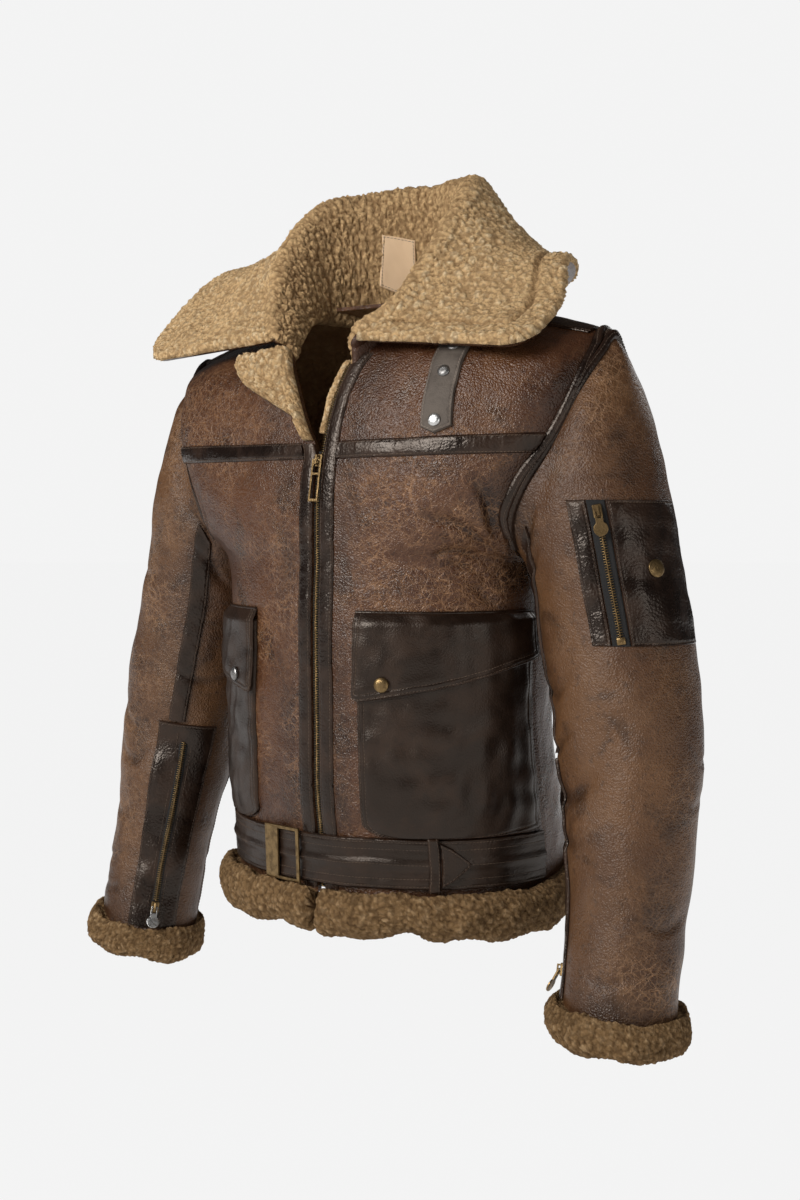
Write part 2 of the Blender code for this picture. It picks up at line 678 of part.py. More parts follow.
def build_armhole_strips():
    """A doubled welt along the armhole: one ridge on the body and one on the sleeve."""
    for side in SIDES:
        arm = sleeve[side]
        outer, inner = [], []
        for turn in np.arange(WELT_TURN, 181 - WELT_TURN, 360 / TURNS):
            face = "front" if turn <= 90 else "back"
            panel = body[face, side]
            rise = 1 + (turn + 90) / 180 if turn <= 90 else 1 + (270 - turn) / 180
            spots = []
            for width in WELT_WIDTHS[::-1]:
                step = step_back(panel, rise, width)
                spots.append((panel.at(rise, step), panel.lean(rise, step)))
            for width in WELT_WIDTHS:
                along = along_out(arm, turn, width)
                spots.append((arm.at(along, turn), arm.lean(along, turn)))
            seam = unit(spots[2][1] + spots[3][1])
            spots[2] = (spots[2][0], seam)
            spots[3] = (spots[3][0], seam)
            lift = WELT_LIFT + (WELT_PEAK if 60 < turn < 100 else 0.0)
            outer.append([p + n * (lift + h) for (p, n), h in zip(spots, WELT_HEIGHTS)])
            inner.append([p + n * lift for p, n in spots])
        loft(f"armhole_strip_{side}", np.array(outer), np.array(inner), (DARK_GLOSS, 0.3, 0.0))


def rise_of(height):
    """The rise at which the fronts reach a height below the armpit."""
    return (height - LEATHER_HEM) / (ARMPIT - LEATHER_HEM)


def tube(name, rings, finish, closed=False):
    """A solid swept through closed rings of points; closed joins its last ring to its first."""
    count, sides, _ = rings.shape
    faces = []
    for r in range(count if closed else count - 1):
        for c in range(sides):
            here, there = r * sides, (r + 1) % count * sides
            faces.append([here + c, here + (c + 1) % sides, there + (c + 1) % sides, there + c])
    if not closed:
        faces.append(list(range(sides))[::-1])
        faces.append([(count - 1) * sides + c for c in range(sides)])
    mesh = bpy.data.meshes.new(name)
    mesh.from_pydata([tuple(p) for p in rings.reshape(-1, 3)], [], faces)
    work = bmesh.new()
    work.from_mesh(mesh)
    bmesh.ops.recalc_face_normals(work, faces=work.faces)
    work.to_mesh(mesh)
    work.free()
    return add(name, mesh, finish)


def twist(side, along):
    """How far round a sleeve its front seam has turned at a place down it."""
    share = min(along / TWIST_RUN, 1.0)
    return CUFF_TURN[side] * share * share * (3 - 2 * share)


def build_seam_strips():
    """A strip down the front seam of each sleeve, from the armhole welt to the cuff opening."""
    for side in SIDES:
        arm = sleeve[side]
        stop = arm.rise_at(CUFF_OPENING["top"] + 0.004, SEAM_TURNS[2] + CUFF_TURN[side])
        alongs = arm.lines(arm.rises, 0.09, stop)
        alongs = np.sort(np.concatenate([alongs, (alongs[1:] + alongs[:-1]) / 2]))
        places = np.array([[(a, t + twist(side, a)) for t in SEAM_TURNS] for a in alongs])
        lay(f"seam_strip_{side}", arm, places, (DARK_GLOSS, 0.3, 0.0), lift=SEAM_LIFT)


def build_waist_pockets():
    for side, way in SIDES.items():
        panel = body["front", side]
        first = panel.near(rise_of(-0.42), way * POCKET["front"], 0)
        steps = panel.lines(STEPS, first, 0.965)
        rises = panel.lines(RISES, rise_of(POCKET["bottom"]), rise_of(POCKET["top"]))
        places = np.array([[(r, s) for s in steps] for r in rises])
        lay(f"pocket_{side}", panel, places, (CHOCOLATE, 0.4, 0.0), 2 * GAP, POCKET["depth"], 0.0012)

        steps = panel.lines(STEPS, first - 0.012, 0.975)
        outer, inner = [], []
        for t in (0.0, 0.12, 0.4, 0.7, 1.0):
            row = []
            for step in steps:
                across = (step - steps[0]) / (steps[-1] - steps[0])
                drop = FLAP["front_drop"] + (FLAP["side_drop"] - FLAP["front_drop"]) * across
                row.append((rise_of(FLAP["top"] + (drop - FLAP["top"]) * t), step))
            lift = 2 * GAP if t == 0 else FLAP["lift"] + 0.0016 * t * t
            inner.append([panel.at(r, s, lift) for r, s in row])
            outer.append([panel.at(r, s, lift + FLAP["thick"]) for r, s in row])
        loft(f"flap_{side}", np.array(outer), np.array(inner), (CHOCOLATE, 0.4, 0.0))


def stud(name, place, way, radius, height, finish):
    """A domed snap or stud that stands on a place, facing its way."""
    mesh = bpy.data.meshes.new(name)
    work = bmesh.new()
    wall = height / 2
    bmesh.ops.create_cone(work, cap_ends=True, segments=16, radius1=radius, radius2=radius, depth=wall)
    bmesh.ops.translate(work, vec=(0, 0, wall / 2), verts=work.verts)
    top = [f for f in work.faces if f.normal.z > 0.9]
    for inset, rise in STUD_DOME:
        bmesh.ops.inset_region(work, faces=top, thickness=radius * inset)
        for v in {v for f in top for v in f.verts}:
            v.co.z += height * rise
    turn = Vector((0, 0, 1)).rotation_difference(Vector(way)).to_matrix().to_4x4()
    bmesh.ops.transform(work, matrix=Matrix.Translation(Vector(place)) @ turn, verts=work.verts)
    work.to_mesh(mesh)
    work.free()
    return add(name, mesh, finish)


def build_belt():
    """The belt crosses both fronts, from side seam to side seam, over the zip."""
    spots = []
    for side, steps in (("left", STEPS[::-1]), ("right", STEPS)):
        for step in steps:
            step = min(step, 0.985)
            base = np.interp(step, *BELT_BASE[side])
            spots.append((body["front", side], step, base))
    outer, inner = [], []
    for height, thick in zip(np.linspace(BELT_BOTTOM, BELT_TOP, len(BELT_LIFTS)), BELT_LIFTS):
        rise = rise_of(height)
        outer.append([panel.at(rise, step, base + thick) for panel, step, base in spots])
        inner.append([panel.at(rise, step, base) for panel, step, base in spots])
    loft("belt", np.array(outer), np.array(inner), (CHOCOLATE, 0.42, 0.0))


def over_belt(side, x, height, more=0.0):
    """A place on the belt's face, reached by its width and height."""
    panel = body["front", side]
    rise = rise_of(height)
    step = panel.near(rise, x, 0)
    base = np.interp(step, *BELT_BASE[side]) + max(BELT_LIFTS) + 2 * GAP
    return panel.at(rise, step, base + more)


def build_buckle():
    low, high = BELT_BOTTOM - BUCKLE["over"] + 0.001, BELT_TOP + BUCKLE["over"]
    right, left = BUCKLE["right"], BUCKLE["left"]
    outside = [(right, low), (right, high), (left, high), (left, low)]
    window = [
        (right + BUCKLE["bar"], low + BUCKLE["rail"]),
        (right + BUCKLE["bar"], high - BUCKLE["rail"]),
        (left - BUCKLE["thin"], high - BUCKLE["rail"]),
        (left - BUCKLE["thin"], low + BUCKLE["rail"]),
    ]
    grids = []
    for more in (BUCKLE["thick"], 0.0):
        loops = [[over_belt("right", x, z, more) for x, z in loop] for loop in (outside, window)]
        grids.append(np.array(loops))
    loft("buckle", *grids, (BRASS, 0.35, 1.0), closed=True)


def build_belt_end():
    """The loop that holds the belt's free end, and the pointed end beyond it."""
    middle = (BELT_BOTTOM + BELT_TOP) / 2
    heights = (BELT_BOTTOM - KEEPER["below"], middle, BELT_TOP + KEEPER["above"])
    sides = (KEEPER["x"] - KEEPER["half"], KEEPER["x"] + KEEPER["half"])
    grids = []
    for more in (KEEPER["thick"], 0.0):
        grids.append(np.array([[over_belt("left", x, z, more) for x in sides] for z in heights]))
    loft("keeper", *grids, (CHOCOLATE, 0.4, 0.0))
    grids = []
    for more in (TIP["thick"], 0.0):
        rows = []
        for share in (-1, -0.5, 0, 0.5, 1):
            places = zip(TIP["reach"], TIP["spread"])
            rows.append([over_belt("left", KEEPER["x"] + x, middle + share * h, more) for x, h in places])
        grids.append(np.array(rows))
    loft("belt_tip", *grids, (CHOCOLATE, 0.4, 0.0))


def build_hem():
    """The fleece rolled out under the hem, open only at the zip, with uneven lobes."""
    spots = []
    for side, face, steps in (
        ("left", "front", STEPS), ("left", "back", STEPS[-2::-1]),
        ("right", "back", STEPS[1:]), ("right", "front", STEPS[-2::-1]),
    ):
        spots += [(body[face, side], step) for step in steps]
    rings = []
    for i, (panel, step) in enumerate(spots):
        round_share = i / (len(spots) - 1)
        place, out = panel.at(0.0, step), panel.lean(0.0, step)
        out = unit(out * [1, 1, 0])
        size = 1 - sum(d * np.exp(-(((round_share - p) / w) ** 2)) for p, w, d in HEM_NOTCHES)
        ring = []
        for reach, z in HEM_SECTION:
            drop = z * size if z < HEM_SHOULDER else z
            ring.append(place + out * reach * size + np.array([0, 0, drop]))
        rings.append(ring)
    tube("hem_fleece", np.array(rings), (DARK_FLEECE, 0.9, 0.0))


def build_cuff_fleece():
    for side in SIDES:
        panel = sleeve[side]
        rings = []
        for turn in panel.steps[:-1]:
            place, out = panel.at(1.0, turn), panel.lean(1.0, turn)
            down = unit(place - panel.at(0.93, turn))
            rings.append([place + out * o - down * z for o, z in CUFF_SECTION])
        tube(f"cuff_fleece_{side}", np.array(rings), (DARK_FLEECE, 0.9, 0.0), closed=True)


def build_collar():
    """A fleece band that stands round the neck, folds over at its ridge and spreads to the shoulders."""
    stations = np.linspace(0, 10, 31)
    middle = []
    for station in stations:
        b = look_up(COLLAR, "station", station, "base_x", "base_y", "base_z")
        r = look_up(COLLAR, "station", station, "ridge_x", "ridge_y", "ridge_z")
        e = look_up(COLLAR, "station", station, "edge_x", "edge_y", "edge_z")
        out = unit((e - b) * [1, 1, 0])
        drop = np.array([0, 0, 1.0])
        tight = min(0.009, (r[2] - b[2]) * 0.42)
        inside = r - out * tight - drop * tight
        outside = r + out * tight - drop * tight * 0.9
        sag = look_up(COLLAR, "station", station, "sag")[0]
        leaf = [outside + (e - outside) * t - drop * sag * sin(pi * t) for t in (0.3, 0.6, 0.85, 1.0)]
        middle.append([b, b + (inside - b) * 0.5, inside, r, outside, *leaf])
    middle = np.array(middle)
    normals = grid_normals(middle)
    half = FLEECE_WALL / 2
    loft("collar", middle + normals * half, middle - normals * half, (FLEECE, 0.9, 0.0))
    return Panel(middle + normals * half, normals, stations, np.arange(middle.shape[1]))


def build_lapel():
    """The facing of the wearer's right front, turned out over the chest."""
    panel = body["front", "right"]
    outer, inner = [], []
    for rise in panel.lines(RISES, 1.54, 1.82):
        height = panel.at(rise, 0.0)[2]
        reach = np.interp(height, *LAPEL_REACH)
        last = panel.near(rise, reach, 0)
        steps = np.linspace(0.0, max(last, 0.03), 5)
        inner.append([panel.at(rise, s, 0.0008) for s in steps])
        crown = (0.006, FLEECE_WALL, FLEECE_WALL + 0.001, FLEECE_WALL, 0.006)
        outer.append([panel.at(rise, s, 0.0008 + h) for s, h in zip(steps, crown)])
    loft("lapel", np.array(outer), np.array(inner), (FLEECE, 0.9, 0.0))


def build_facing():
    """The narrow fleece edge that shows inside the open top of the wearer's left front."""
    panel = body["front", "left"]
    rings = []
    for rise in panel.lines(RISES, 1.56, 1.79):
        place, out = panel.at(rise, 0.0), panel.lean(rise, 0.0)
        centre = place - np.array([ZIP_HALF + 0.0051, 0, 0]) - out * 0.004
        ring = [radians(60 * k) for k in range(6)]
        rings.append([centre + np.array([1, 0, 0]) * 0.0053 * cos(a) + out * 0.0053 * sin(a) for a in ring])
    tube("facing_left", np.array(rings), (FLEECE, 0.9, 0.0))


def build_throat_strap():
    panel = body["front", "left"]
    rises = [1.56, 1.62, 1.7, 1.75, 1.8, STRAP_TOP]
    shares = (-1.0, -0.5, 0.0, 0.5, 1.0)
    lines = []
    for i, rise in enumerate(rises):
        line = []
        for share in shares:
            low = rise - (0.022 * (1 - abs(share)) if i == 0 else 0.0)
            line.append((low, panel.near(low, STRAP_X + share * STRAP_HALF, 0)))
        lines.append(line)
    lay("throat_strap", panel, np.array(lines), (STRAP_GREY, 0.6, 0.0), lift=STRAP_LIFT, thick=STRAP_THICK)
    for number, height in enumerate(SNAP_HEIGHTS, start=1):
        step = panel.near(1.7, STRAP_X, 0)
        rise = panel.rise_at(height, step)
        step = panel.near(rise, STRAP_X, 0)
        place = panel.at(rise, step, STRAP_LIFT + STRAP_THICK + 2 * GAP)
        finish = (SILVER, 0.25, 1.0) if number == 1 else (BRASS, 0.35, 1.0)
        stud(f"strap_snap_{number}", place, panel.lean(rise, step), 0.0062, 0.0036, finish)


def build_flap_snaps():
    for side, way in SIDES.items():
        panel = body["front", side]
        rise = rise_of(-0.373)
        step = panel.near(rise, way * 0.092, 0)
        place = panel.at(rise, step, FLAP["lift"] + FLAP["thick"] + 0.0020)
        stud(f"flap_snap_{side}", place, panel.lean(rise, step), 0.0072, 0.0042, (BRASS, 0.35, 1.0))


def build_sleeve_pocket():
    panel = sleeve["left"]
    first, tape, patch, last = SLEEVE_POCKET["turns"]
    pieces = (
        ("sleeve_pocket_strip", first, tape - 0.4, 0.0008, 0.0018, DARK_GLOSS),
        ("sleeve_pocket_tape", tape, patch, 0.0007, 0.0009, TAPE),
        ("sleeve_pocket", patch + 0.4, last, 0.0008, 0.0020, DARK_GLOSS),
    )
    for name, start, stop, lift, thick, colour in pieces:
        turns = panel.lines(panel.steps, start, stop)
        lines = []
        for height in np.linspace(SLEEVE_POCKET["bottom"], SLEEVE_POCKET["top"], 6):
            lines.append([(panel.rise_at(height, turn), turn) for turn in turns])
        lay(name, panel, np.array(lines), (colour, 0.35, 0.0), lift=lift, thick=thick)
    turn = SLEEVE_STUD["turn"]
    along = panel.rise_at(SLEEVE_STUD["height"], turn)
    place, way = panel.at(along, turn, SLEEVE_STUD["lift"]), panel.lean(along, turn)
    stud("sleeve_stud", place, way, SLEEVE_STUD["radius"], SLEEVE_STUD["tall"], (BRASS, 0.35, 1.0))


def build_cuff_openings():
    for side in SIDES:
        panel = sleeve[side]
        first, tape, patch, last = [turn + CUFF_TURN[side] for turn in CUFF_OPENING["turns"]]
        top = panel.rise_at(CUFF_OPENING["top"], tape)
        alongs = panel.lines(panel.rises, top, 0.993)
        turns = panel.lines(panel.steps, first, last)
        places = np.array([[(a, t) for t in turns] for a in alongs])
        lay(f"cuff_guard_{side}", panel, places, (DARK_GLOSS, 0.3, 0.0), lift=3 * GAP)
        alongs = panel.lines(panel.rises, top + 0.035, 0.985)
        turns = panel.lines(panel.steps, patch, tape)
        places = np.array([[(a, t) for t in turns] for a in alongs])
        lay(f"cuff_tape_{side}", panel, places, (TAPE, 0.8, 0.0), lift=TRIM + 4 * GAP, thick=0.0009)


def build_zip_tapes():
    """Two tapes between the fronts; the teeth run where they meet."""
    for side, top in (("left", 1.8), ("right", 1.5)):
        panel = body["front", side]
        way = SIDES[side]
        outer, inner = [], []
        for rise in panel.lines(RISES, 0.0, top):
            edge, out = panel.at(rise, 0.0), panel.lean(rise, 0.0)
            middle = edge - np.array([way * ZIP_HALF, 0, 0])
            ends = (middle + np.array([way * GAP, 0, 0]), edge - np.array([way * GAP, 0, 0]))
            outer.append([p - out * 0.0015 for p in ends])
            inner.append([p - out * 0.0033 for p in ends])
        loft(f"zip_tape_{side}", np.array(outer), np.array(inner), (TAPE, 0.8, 0.0))


# ---- zip sliders and pulls ----
def frame_matrix(foot, out, down):
    """Axes at a slider: x across the zip, y up along it, z out of the cloth."""
    up = unit(-(down - out * np.dot(down, out)))
    across = np.cross(up, out)
    made = Matrix([[*row] for row in np.array([across, up, out]).T]).to_4x4()
    made.translation = Vector(foot)
    return made


def slider(name, matrix, finish):
    mesh = bpy.data.meshes.new(name)
    work = bmesh.new()
    size = (SLIDER["half_width"] * 2, SLIDER["half_length"] * 2, SLIDER["plate"])
    stretch = Matrix.Translation((0, 0, size[2] / 2)) @ Matrix.Diagonal((*size, 1))
    bmesh.ops.create_cube(work, size=1.0, matrix=stretch)
    bmesh.ops.bevel(work, geom=work.edges, offset=0.0006, segments=1, affect="EDGES")
    bmesh.ops.transform(work, matrix=matrix, verts=work.verts)
    work.to_mesh(mesh)
    work.free()
    body_piece = add(name, mesh, finish)
    end, post, foot, under = ARCH["end"], ARCH["post"], ARCH["foot"], SLIDER["top"] - ARCH["roof"]
    outline = [(-end, foot), (-end, SLIDER["top"]), (end, SLIDER["top"]), (end, foot)]
    outline += [(post, foot), (post, under), (-post, under), (-post, foot)]
    arch = bpy.data.meshes.new(name + "_arch")
    work = bmesh.new()
    corners = [work.verts.new((-SLIDER["arch"], y, z)) for y, z in outline]
    face = work.faces.new(corners)
    pushed = bmesh.ops.extrude_face_region(work, geom=[face])
    moved = [v for v in pushed["geom"] if isinstance(v, bmesh.types.BMVert)]
    bmesh.ops.translate(work, vec=(2 * SLIDER["arch"], 0, 0), verts=moved)
    bmesh.ops.recalc_face_normals(work, faces=work.faces)
    bmesh.ops.transform(work, matrix=matrix, verts=work.verts)
    work.to_mesh(arch)
    work.free()
    cutter = bpy.data.objects.new(name + "_arch", arch)
    cutter.hide_render = True
    cutter.display_type = "WIRE"
    cutters.objects.link(cutter)
    joined = body_piece.modifiers.new("Arch", "BOOLEAN")
    joined.operation = "UNION"
    joined.object = cutter
    return body_piece


def pull(name, matrix, outlines, finish, tilt=0.0):
    """A flat pull cut from sheet metal; its origin lies on its pin's axis."""
    curve = bpy.data.curves.new(name, "CURVE")
    curve.dimensions = "2D"
    curve.fill_mode = "BOTH"
    curve.extrude = PULL / 2
    for points in outlines:
        spline = curve.splines.new("POLY")
        spline.points.add(len(points) - 1)
        for point, (x, y) in zip(spline.points, points):
            point.co = (x, y, 0, 1)
        spline.use_cyclic_u = True
    shape = bpy.data.objects.new(name + "_curve", curve)
    bpy.context.scene.collection.objects.link(shape)
    evaluated = shape.evaluated_get(bpy.context.evaluated_depsgraph_get())
    mesh = bpy.data.meshes.new_from_object(evaluated)
    work = bmesh.new()
    work.from_mesh(mesh)
    bmesh.ops.remove_doubles(work, verts=work.verts, dist=1e-6)
    bmesh.ops.recalc_face_normals(work, faces=work.faces)
    work.to_mesh(mesh)
    work.free()
    bpy.data.objects.remove(shape, do_unlink=True)
    mesh.name = name
    mesh.materials.clear()
    made = add(name, mesh, finish)
    made.matrix_world = matrix @ Matrix.Translation((0, 0, PIN)) @ Matrix.Rotation(tilt, 4, "X")
    return made


def box_outline(half_width, top, bottom):
    return [(-half_width, bottom), (half_width, bottom), (half_width, top), (-half_width, top)]


def frame_pull():
    """A long rectangular frame with a bar across it."""
    windows = [box_outline(0.0036, -0.0008, -0.0125), box_outline(0.0036, -0.0145, -0.0375)]
    return [box_outline(0.0056, 0.0008, -0.040), *windows]


def disc_pull():
    """A loop for the pin, a neck and a plain round disc, as one keyhole outline."""
    radius, centre, neck = 0.0066, -0.0166, 0.0034
    start = np.arcsin(neck / radius)
    turns = np.linspace(pi / 2 + start, 5 * pi / 2 - start, 17)
    round_edge = [(radius * cos(a), centre + radius * sin(a)) for a in turns]
    return [[(-neck, 0.0008), *round_edge, (neck, 0.0008)], box_outline(0.0020, -0.0008, -0.0070)]


def build_zips():
    metal = (BRASS, 0.35, 1.0)
    panel = body["front", "left"]
    rise = panel.rise_at(ZIP_TOP - 0.006, 0.0)
    foot, out = panel.at(rise, 0.0), panel.lean(rise, 0.0)
    low = panel.at(rise - 0.15, 0.0)
    shift = np.array([ZIP_HALF, 0, 0])
    matrix = frame_matrix(foot - shift - out * (0.0015 - GAP), out, low - foot)
    slider("front_slider", matrix, metal)
    pull("front_pull", matrix, frame_pull(), metal)

    panel = sleeve["left"]
    turn = (SLEEVE_POCKET["turns"][1] + SLEEVE_POCKET["turns"][2]) / 2
    along = panel.rise_at(-0.214, turn)
    below = panel.rise_at(-0.240, turn)
    foot, out = panel.at(along, turn, 0.0016 + GAP), panel.lean(along, turn)
    matrix = frame_matrix(foot, out, panel.at(below, turn) - panel.at(along, turn))
    slider("sleeve_pocket_slider", matrix, metal)
    pull("sleeve_pocket_pull", matrix, disc_pull(), metal)

    middle = (CUFF_OPENING["turns"][1] + CUFF_OPENING["turns"][2]) / 2
    for side in SIDES:
        panel, turn = sleeve[side], middle + CUFF_TURN[side]
        foot, out = panel.at(0.945, turn, TRIM + 0.0009 + 5 * GAP), panel.lean(0.945, turn)
        matrix = frame_matrix(foot, out, panel.at(1.0, turn) - panel.at(0.9, turn))
        slider(f"cuff_slider_{side}", matrix, metal)
        pull(f"cuff_pull_{side}", matrix, disc_pull(), metal, CUFF_PULL_TILT)


def build_label():
    """A blank woven label that hangs inside the back of the neck."""
    lines = []
    for height, station in LABEL_PLACES:
        lines.append([(station + side * LABEL_HALF, height) for side in (1, 0, -1)])
    lay("label", collar_face, np.array(lines), (LABEL_TAN, 0.7, 0.0), lift=0.0008, thick=0.0009)


cutters = collection("cutters")
build_body()
build_sleeves()
build_plackets()
build_yokes()
build_shoulder_strips()
build_armhole_strips()
build_seam_strips()
build_waist_pockets()
build_flap_snaps()
build_belt()
build_buckle()
build_belt_end()
build_hem()
build_cuff_fleece()
collar_face = build_collar()
build_lapel()
build_facing()
build_throat_strap()
build_label()
build_sleeve_pocket()
build_cuff_openings()
build_zip_tapes()
build_zips()
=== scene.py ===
# Tank jacket: the looks of a hollow shearling jacket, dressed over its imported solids.
from math import cos, pi, radians, sin

import bmesh
import bpy
import numpy as np
from mathutils import Matrix, Vector


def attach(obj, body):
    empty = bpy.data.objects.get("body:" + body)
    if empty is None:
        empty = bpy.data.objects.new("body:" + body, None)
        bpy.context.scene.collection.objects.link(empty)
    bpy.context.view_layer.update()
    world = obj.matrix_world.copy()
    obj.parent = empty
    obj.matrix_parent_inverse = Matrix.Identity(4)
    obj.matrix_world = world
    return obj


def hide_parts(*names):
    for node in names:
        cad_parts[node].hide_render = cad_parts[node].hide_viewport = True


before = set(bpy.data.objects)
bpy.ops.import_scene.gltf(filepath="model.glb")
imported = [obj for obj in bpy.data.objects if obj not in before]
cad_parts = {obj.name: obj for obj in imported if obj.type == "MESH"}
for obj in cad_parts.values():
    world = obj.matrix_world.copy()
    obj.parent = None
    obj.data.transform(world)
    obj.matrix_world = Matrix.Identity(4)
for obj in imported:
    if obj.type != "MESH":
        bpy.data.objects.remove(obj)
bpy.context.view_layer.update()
rootBody = "jacket"
print("frame loaded")

# the photograph's viewing angle
view = {"turn": 37.5, "distance": 1.70, "shiftX": -0.013, "height": -0.230, "pitch": 2.40, "lens": 50}


def makeCamera():
    turn, pitch = radians(view["turn"]), radians(view["pitch"])
    right = Vector((cos(turn), sin(turn), 0))
    ahead = Vector((-sin(turn), cos(turn), 0))
    up = Vector((0, 0, 1))
    look = ahead * cos(pitch) - up * sin(pitch)
    top = ahead * sin(pitch) + up * cos(pitch)
    data = bpy.data.cameras.new("photographCamera")
    data.lens = view["lens"]
    data.sensor_fit = "VERTICAL"
    data.sensor_height = data.sensor_width = 36
    camera = bpy.data.objects.new("photographCamera", data)
    place = Matrix((right, top, -look)).transposed().to_4x4()
    place.translation = -ahead * view["distance"] - right * view["shiftX"] + up * view["height"]
    camera.matrix_world = place
    bpy.context.scene.collection.objects.link(camera)
    bpy.context.scene.camera = camera
    return right, ahead, up


viewRight, viewAhead, viewUp = makeCamera()

# the jacket's form, on the same named sizes as its solids
sides = {"left": 1, "right": -1}
seam = {"bodyWall": 0.005, "sleeveWall": 0.0045, "fleeceWall": 0.011}
form = {
    "leatherHem": -0.572, "backLift": 0.030, "armpit": -0.262, "zipX": 0.020, "zipTop": -0.158,
    "zipHalf": 0.0048, "neckRise": 1.8, "lowRows": 12, "highRows": 10, "columns": 10, "sleeveRows": 19,
}


def table(columns, *rows):
    return dict(zip(columns.split(), np.array(rows, dtype=float).T))


torso = table(
    "z half front back middle",
    (-0.580, 0.179, 0.146, 0.161, 0.018), (-0.540, 0.179, 0.146, 0.160, 0.018),
    (-0.480, 0.180, 0.143, 0.147, 0.008), (-0.420, 0.178, 0.137, 0.134, 0.001),
    (-0.360, 0.177, 0.138, 0.136, 0.001), (-0.300, 0.178, 0.139, 0.136, 0.002),
    (-0.262, 0.182, 0.139, 0.136, 0.004),
)
armhole = table(
    "turn x y z",
    (-270, 0.256, 0.004, -0.046), (-225, 0.250, 0.042, -0.088), (-180, 0.231, 0.066, -0.155),
    (-150, 0.202, 0.070, -0.208), (-120, 0.186, 0.046, -0.248), (-90, 0.182, 0.004, -0.262),
    (-60, 0.184, -0.042, -0.246), (-30, 0.193, -0.066, -0.203), (0, 0.226, -0.050, -0.150),
    (45, 0.249, -0.026, -0.086), (90, 0.256, 0.004, -0.046),
)
frontEdge = {
    "left": table(
        "rise x y z",
        (1.0, 0.020, -0.136, -0.262), (1.5, 0.021, -0.128, -0.155), (1.7, 0.026, -0.112, -0.095),
        (1.8, 0.036, -0.095, -0.062), (1.9, 0.062, -0.058, -0.028), (2.0, 0.085, 0.004, 0.002),
    ),
    "right": table(
        "rise x y z",
        (1.0, 0.020, -0.136, -0.262), (1.5, 0.017, -0.128, -0.155), (1.7, -0.016, -0.112, -0.098),
        (1.8, -0.040, -0.094, -0.062), (1.9, -0.064, -0.058, -0.028), (2.0, -0.085, 0.004, 0.002),
    ),
}
backEdge = table(
    "rise x y z",
    (1.0, 0.000, 0.141, -0.262), (1.5, 0.000, 0.133, -0.135), (1.8, 0.000, 0.108, -0.045),
    (1.9, 0.048, 0.074, -0.014), (2.0, 0.085, 0.004, 0.002),
)
sleeveRings = table(
    "along outerX outerZ innerX innerZ middleY depth",
    (0.00, 0.256, -0.046, 0.182, -0.262, 0.004, 0.072), (0.06, 0.273, -0.068, 0.184, -0.270, 0.004, 0.072),
    (0.13, 0.290, -0.116, 0.187, -0.280, 0.005, 0.072), (0.22, 0.308, -0.184, 0.190, -0.296, 0.006, 0.071),
    (0.32, 0.323, -0.256, 0.194, -0.322, 0.006, 0.069), (0.45, 0.343, -0.345, 0.206, -0.378, 0.002, 0.067),
    (0.58, 0.354, -0.430, 0.222, -0.452, -0.005, 0.063), (0.70, 0.354, -0.505, 0.2355, -0.522, -0.016, 0.057),
    (
        0.82, 0.351, -0.572, 0.2455, -0.585, -0.028, 0.0535
    ), (1.00, 0.352, -0.652, 0.249, -0.662, -0.046, 0.0515),
)
cuffSlant = {"left": -0.010, "right": 0.004}
cuffTurn = {"left": -32.0, "right": 0.0}
collarLine = table(
    "station baseX baseY baseZ ridgeX ridgeY ridgeZ edgeX edgeY edgeZ sag",
    (0, 0.038, -0.103, -0.062, 0.050, -0.110, -0.044, 0.222, -0.0845, -0.065, 0.000),
    (1, 0.058, -0.066, -0.030, 0.082, -0.074, -0.006, 0.222, -0.025, -0.024, 0.004),
    (2, 0.074, -0.028, -0.006, 0.098, -0.034, 0.052, 0.205, 0.015, 0.022, 0.010),
    (3, 0.0740, 0.006, -0.003, 0.092, 0.016, 0.102, 0.180, 0.070, 0.024, 0.012),
    (4, 0.0565, 0.037, -0.009, 0.062, 0.062, 0.120, 0.120, 0.135, 0.020, 0.012),
    (5, 0.000, 0.0910, -0.047, 0.000, 0.088, 0.122, 0.000, 0.165, 0.010, 0.010),
    (6, -0.0565, 0.037, -0.009, -0.062, 0.062, 0.120, -0.120, 0.135, 0.020, 0.012),
    (7, -0.0740, 0.006, -0.003, -0.098, 0.016, 0.104, -0.185, 0.070, 0.045, 0.008),
    (8, -0.074, -0.028, -0.006, -0.106, -0.034, 0.055, -0.228, 0.005, 0.045, 0.004),
    (9, -0.062, -0.062, -0.026, -0.088, -0.072, -0.004, -0.264, -0.042, -0.010, 0.002),
    (10, -0.050, -0.086, -0.050, -0.066, -0.099, -0.038, -0.264, -0.078, -0.050, 0.000),
)
sleeveFolds = table(
    "place across halfWidth halfLength depth slant",
    (0.10, 10, 0.030, 70, 0.0030, 0.0004), (0.52, -20, 0.026, 75, 0.0040, 0.0005),
    (0.60, -30, 0.024, 80, 0.0045, -0.0004), (0.68, -10, 0.022, 70, 0.0030, 0.0005),
    (0.57, 170, 0.024, 60, 0.0025, 0.0003), (0.84, 0, 0.024, 90, 0.0020, 0.0006),
    (0.92, 150, 0.020, 70, 0.0020, -0.0005),
)
bodyFolds = table(
    "place across halfWidth halfLength depth slant",
    (1.12, 0.72, 0.055, 0.28, 0.0045, 0.35), (0.98, 0.80, 0.050, 0.22, 0.0035, 0.45),
    (0.80, 0.86, 0.060, 0.20, 0.0030, 0.30), (1.66, 0.80, 0.050, 0.20, 0.0025, -0.40),
)


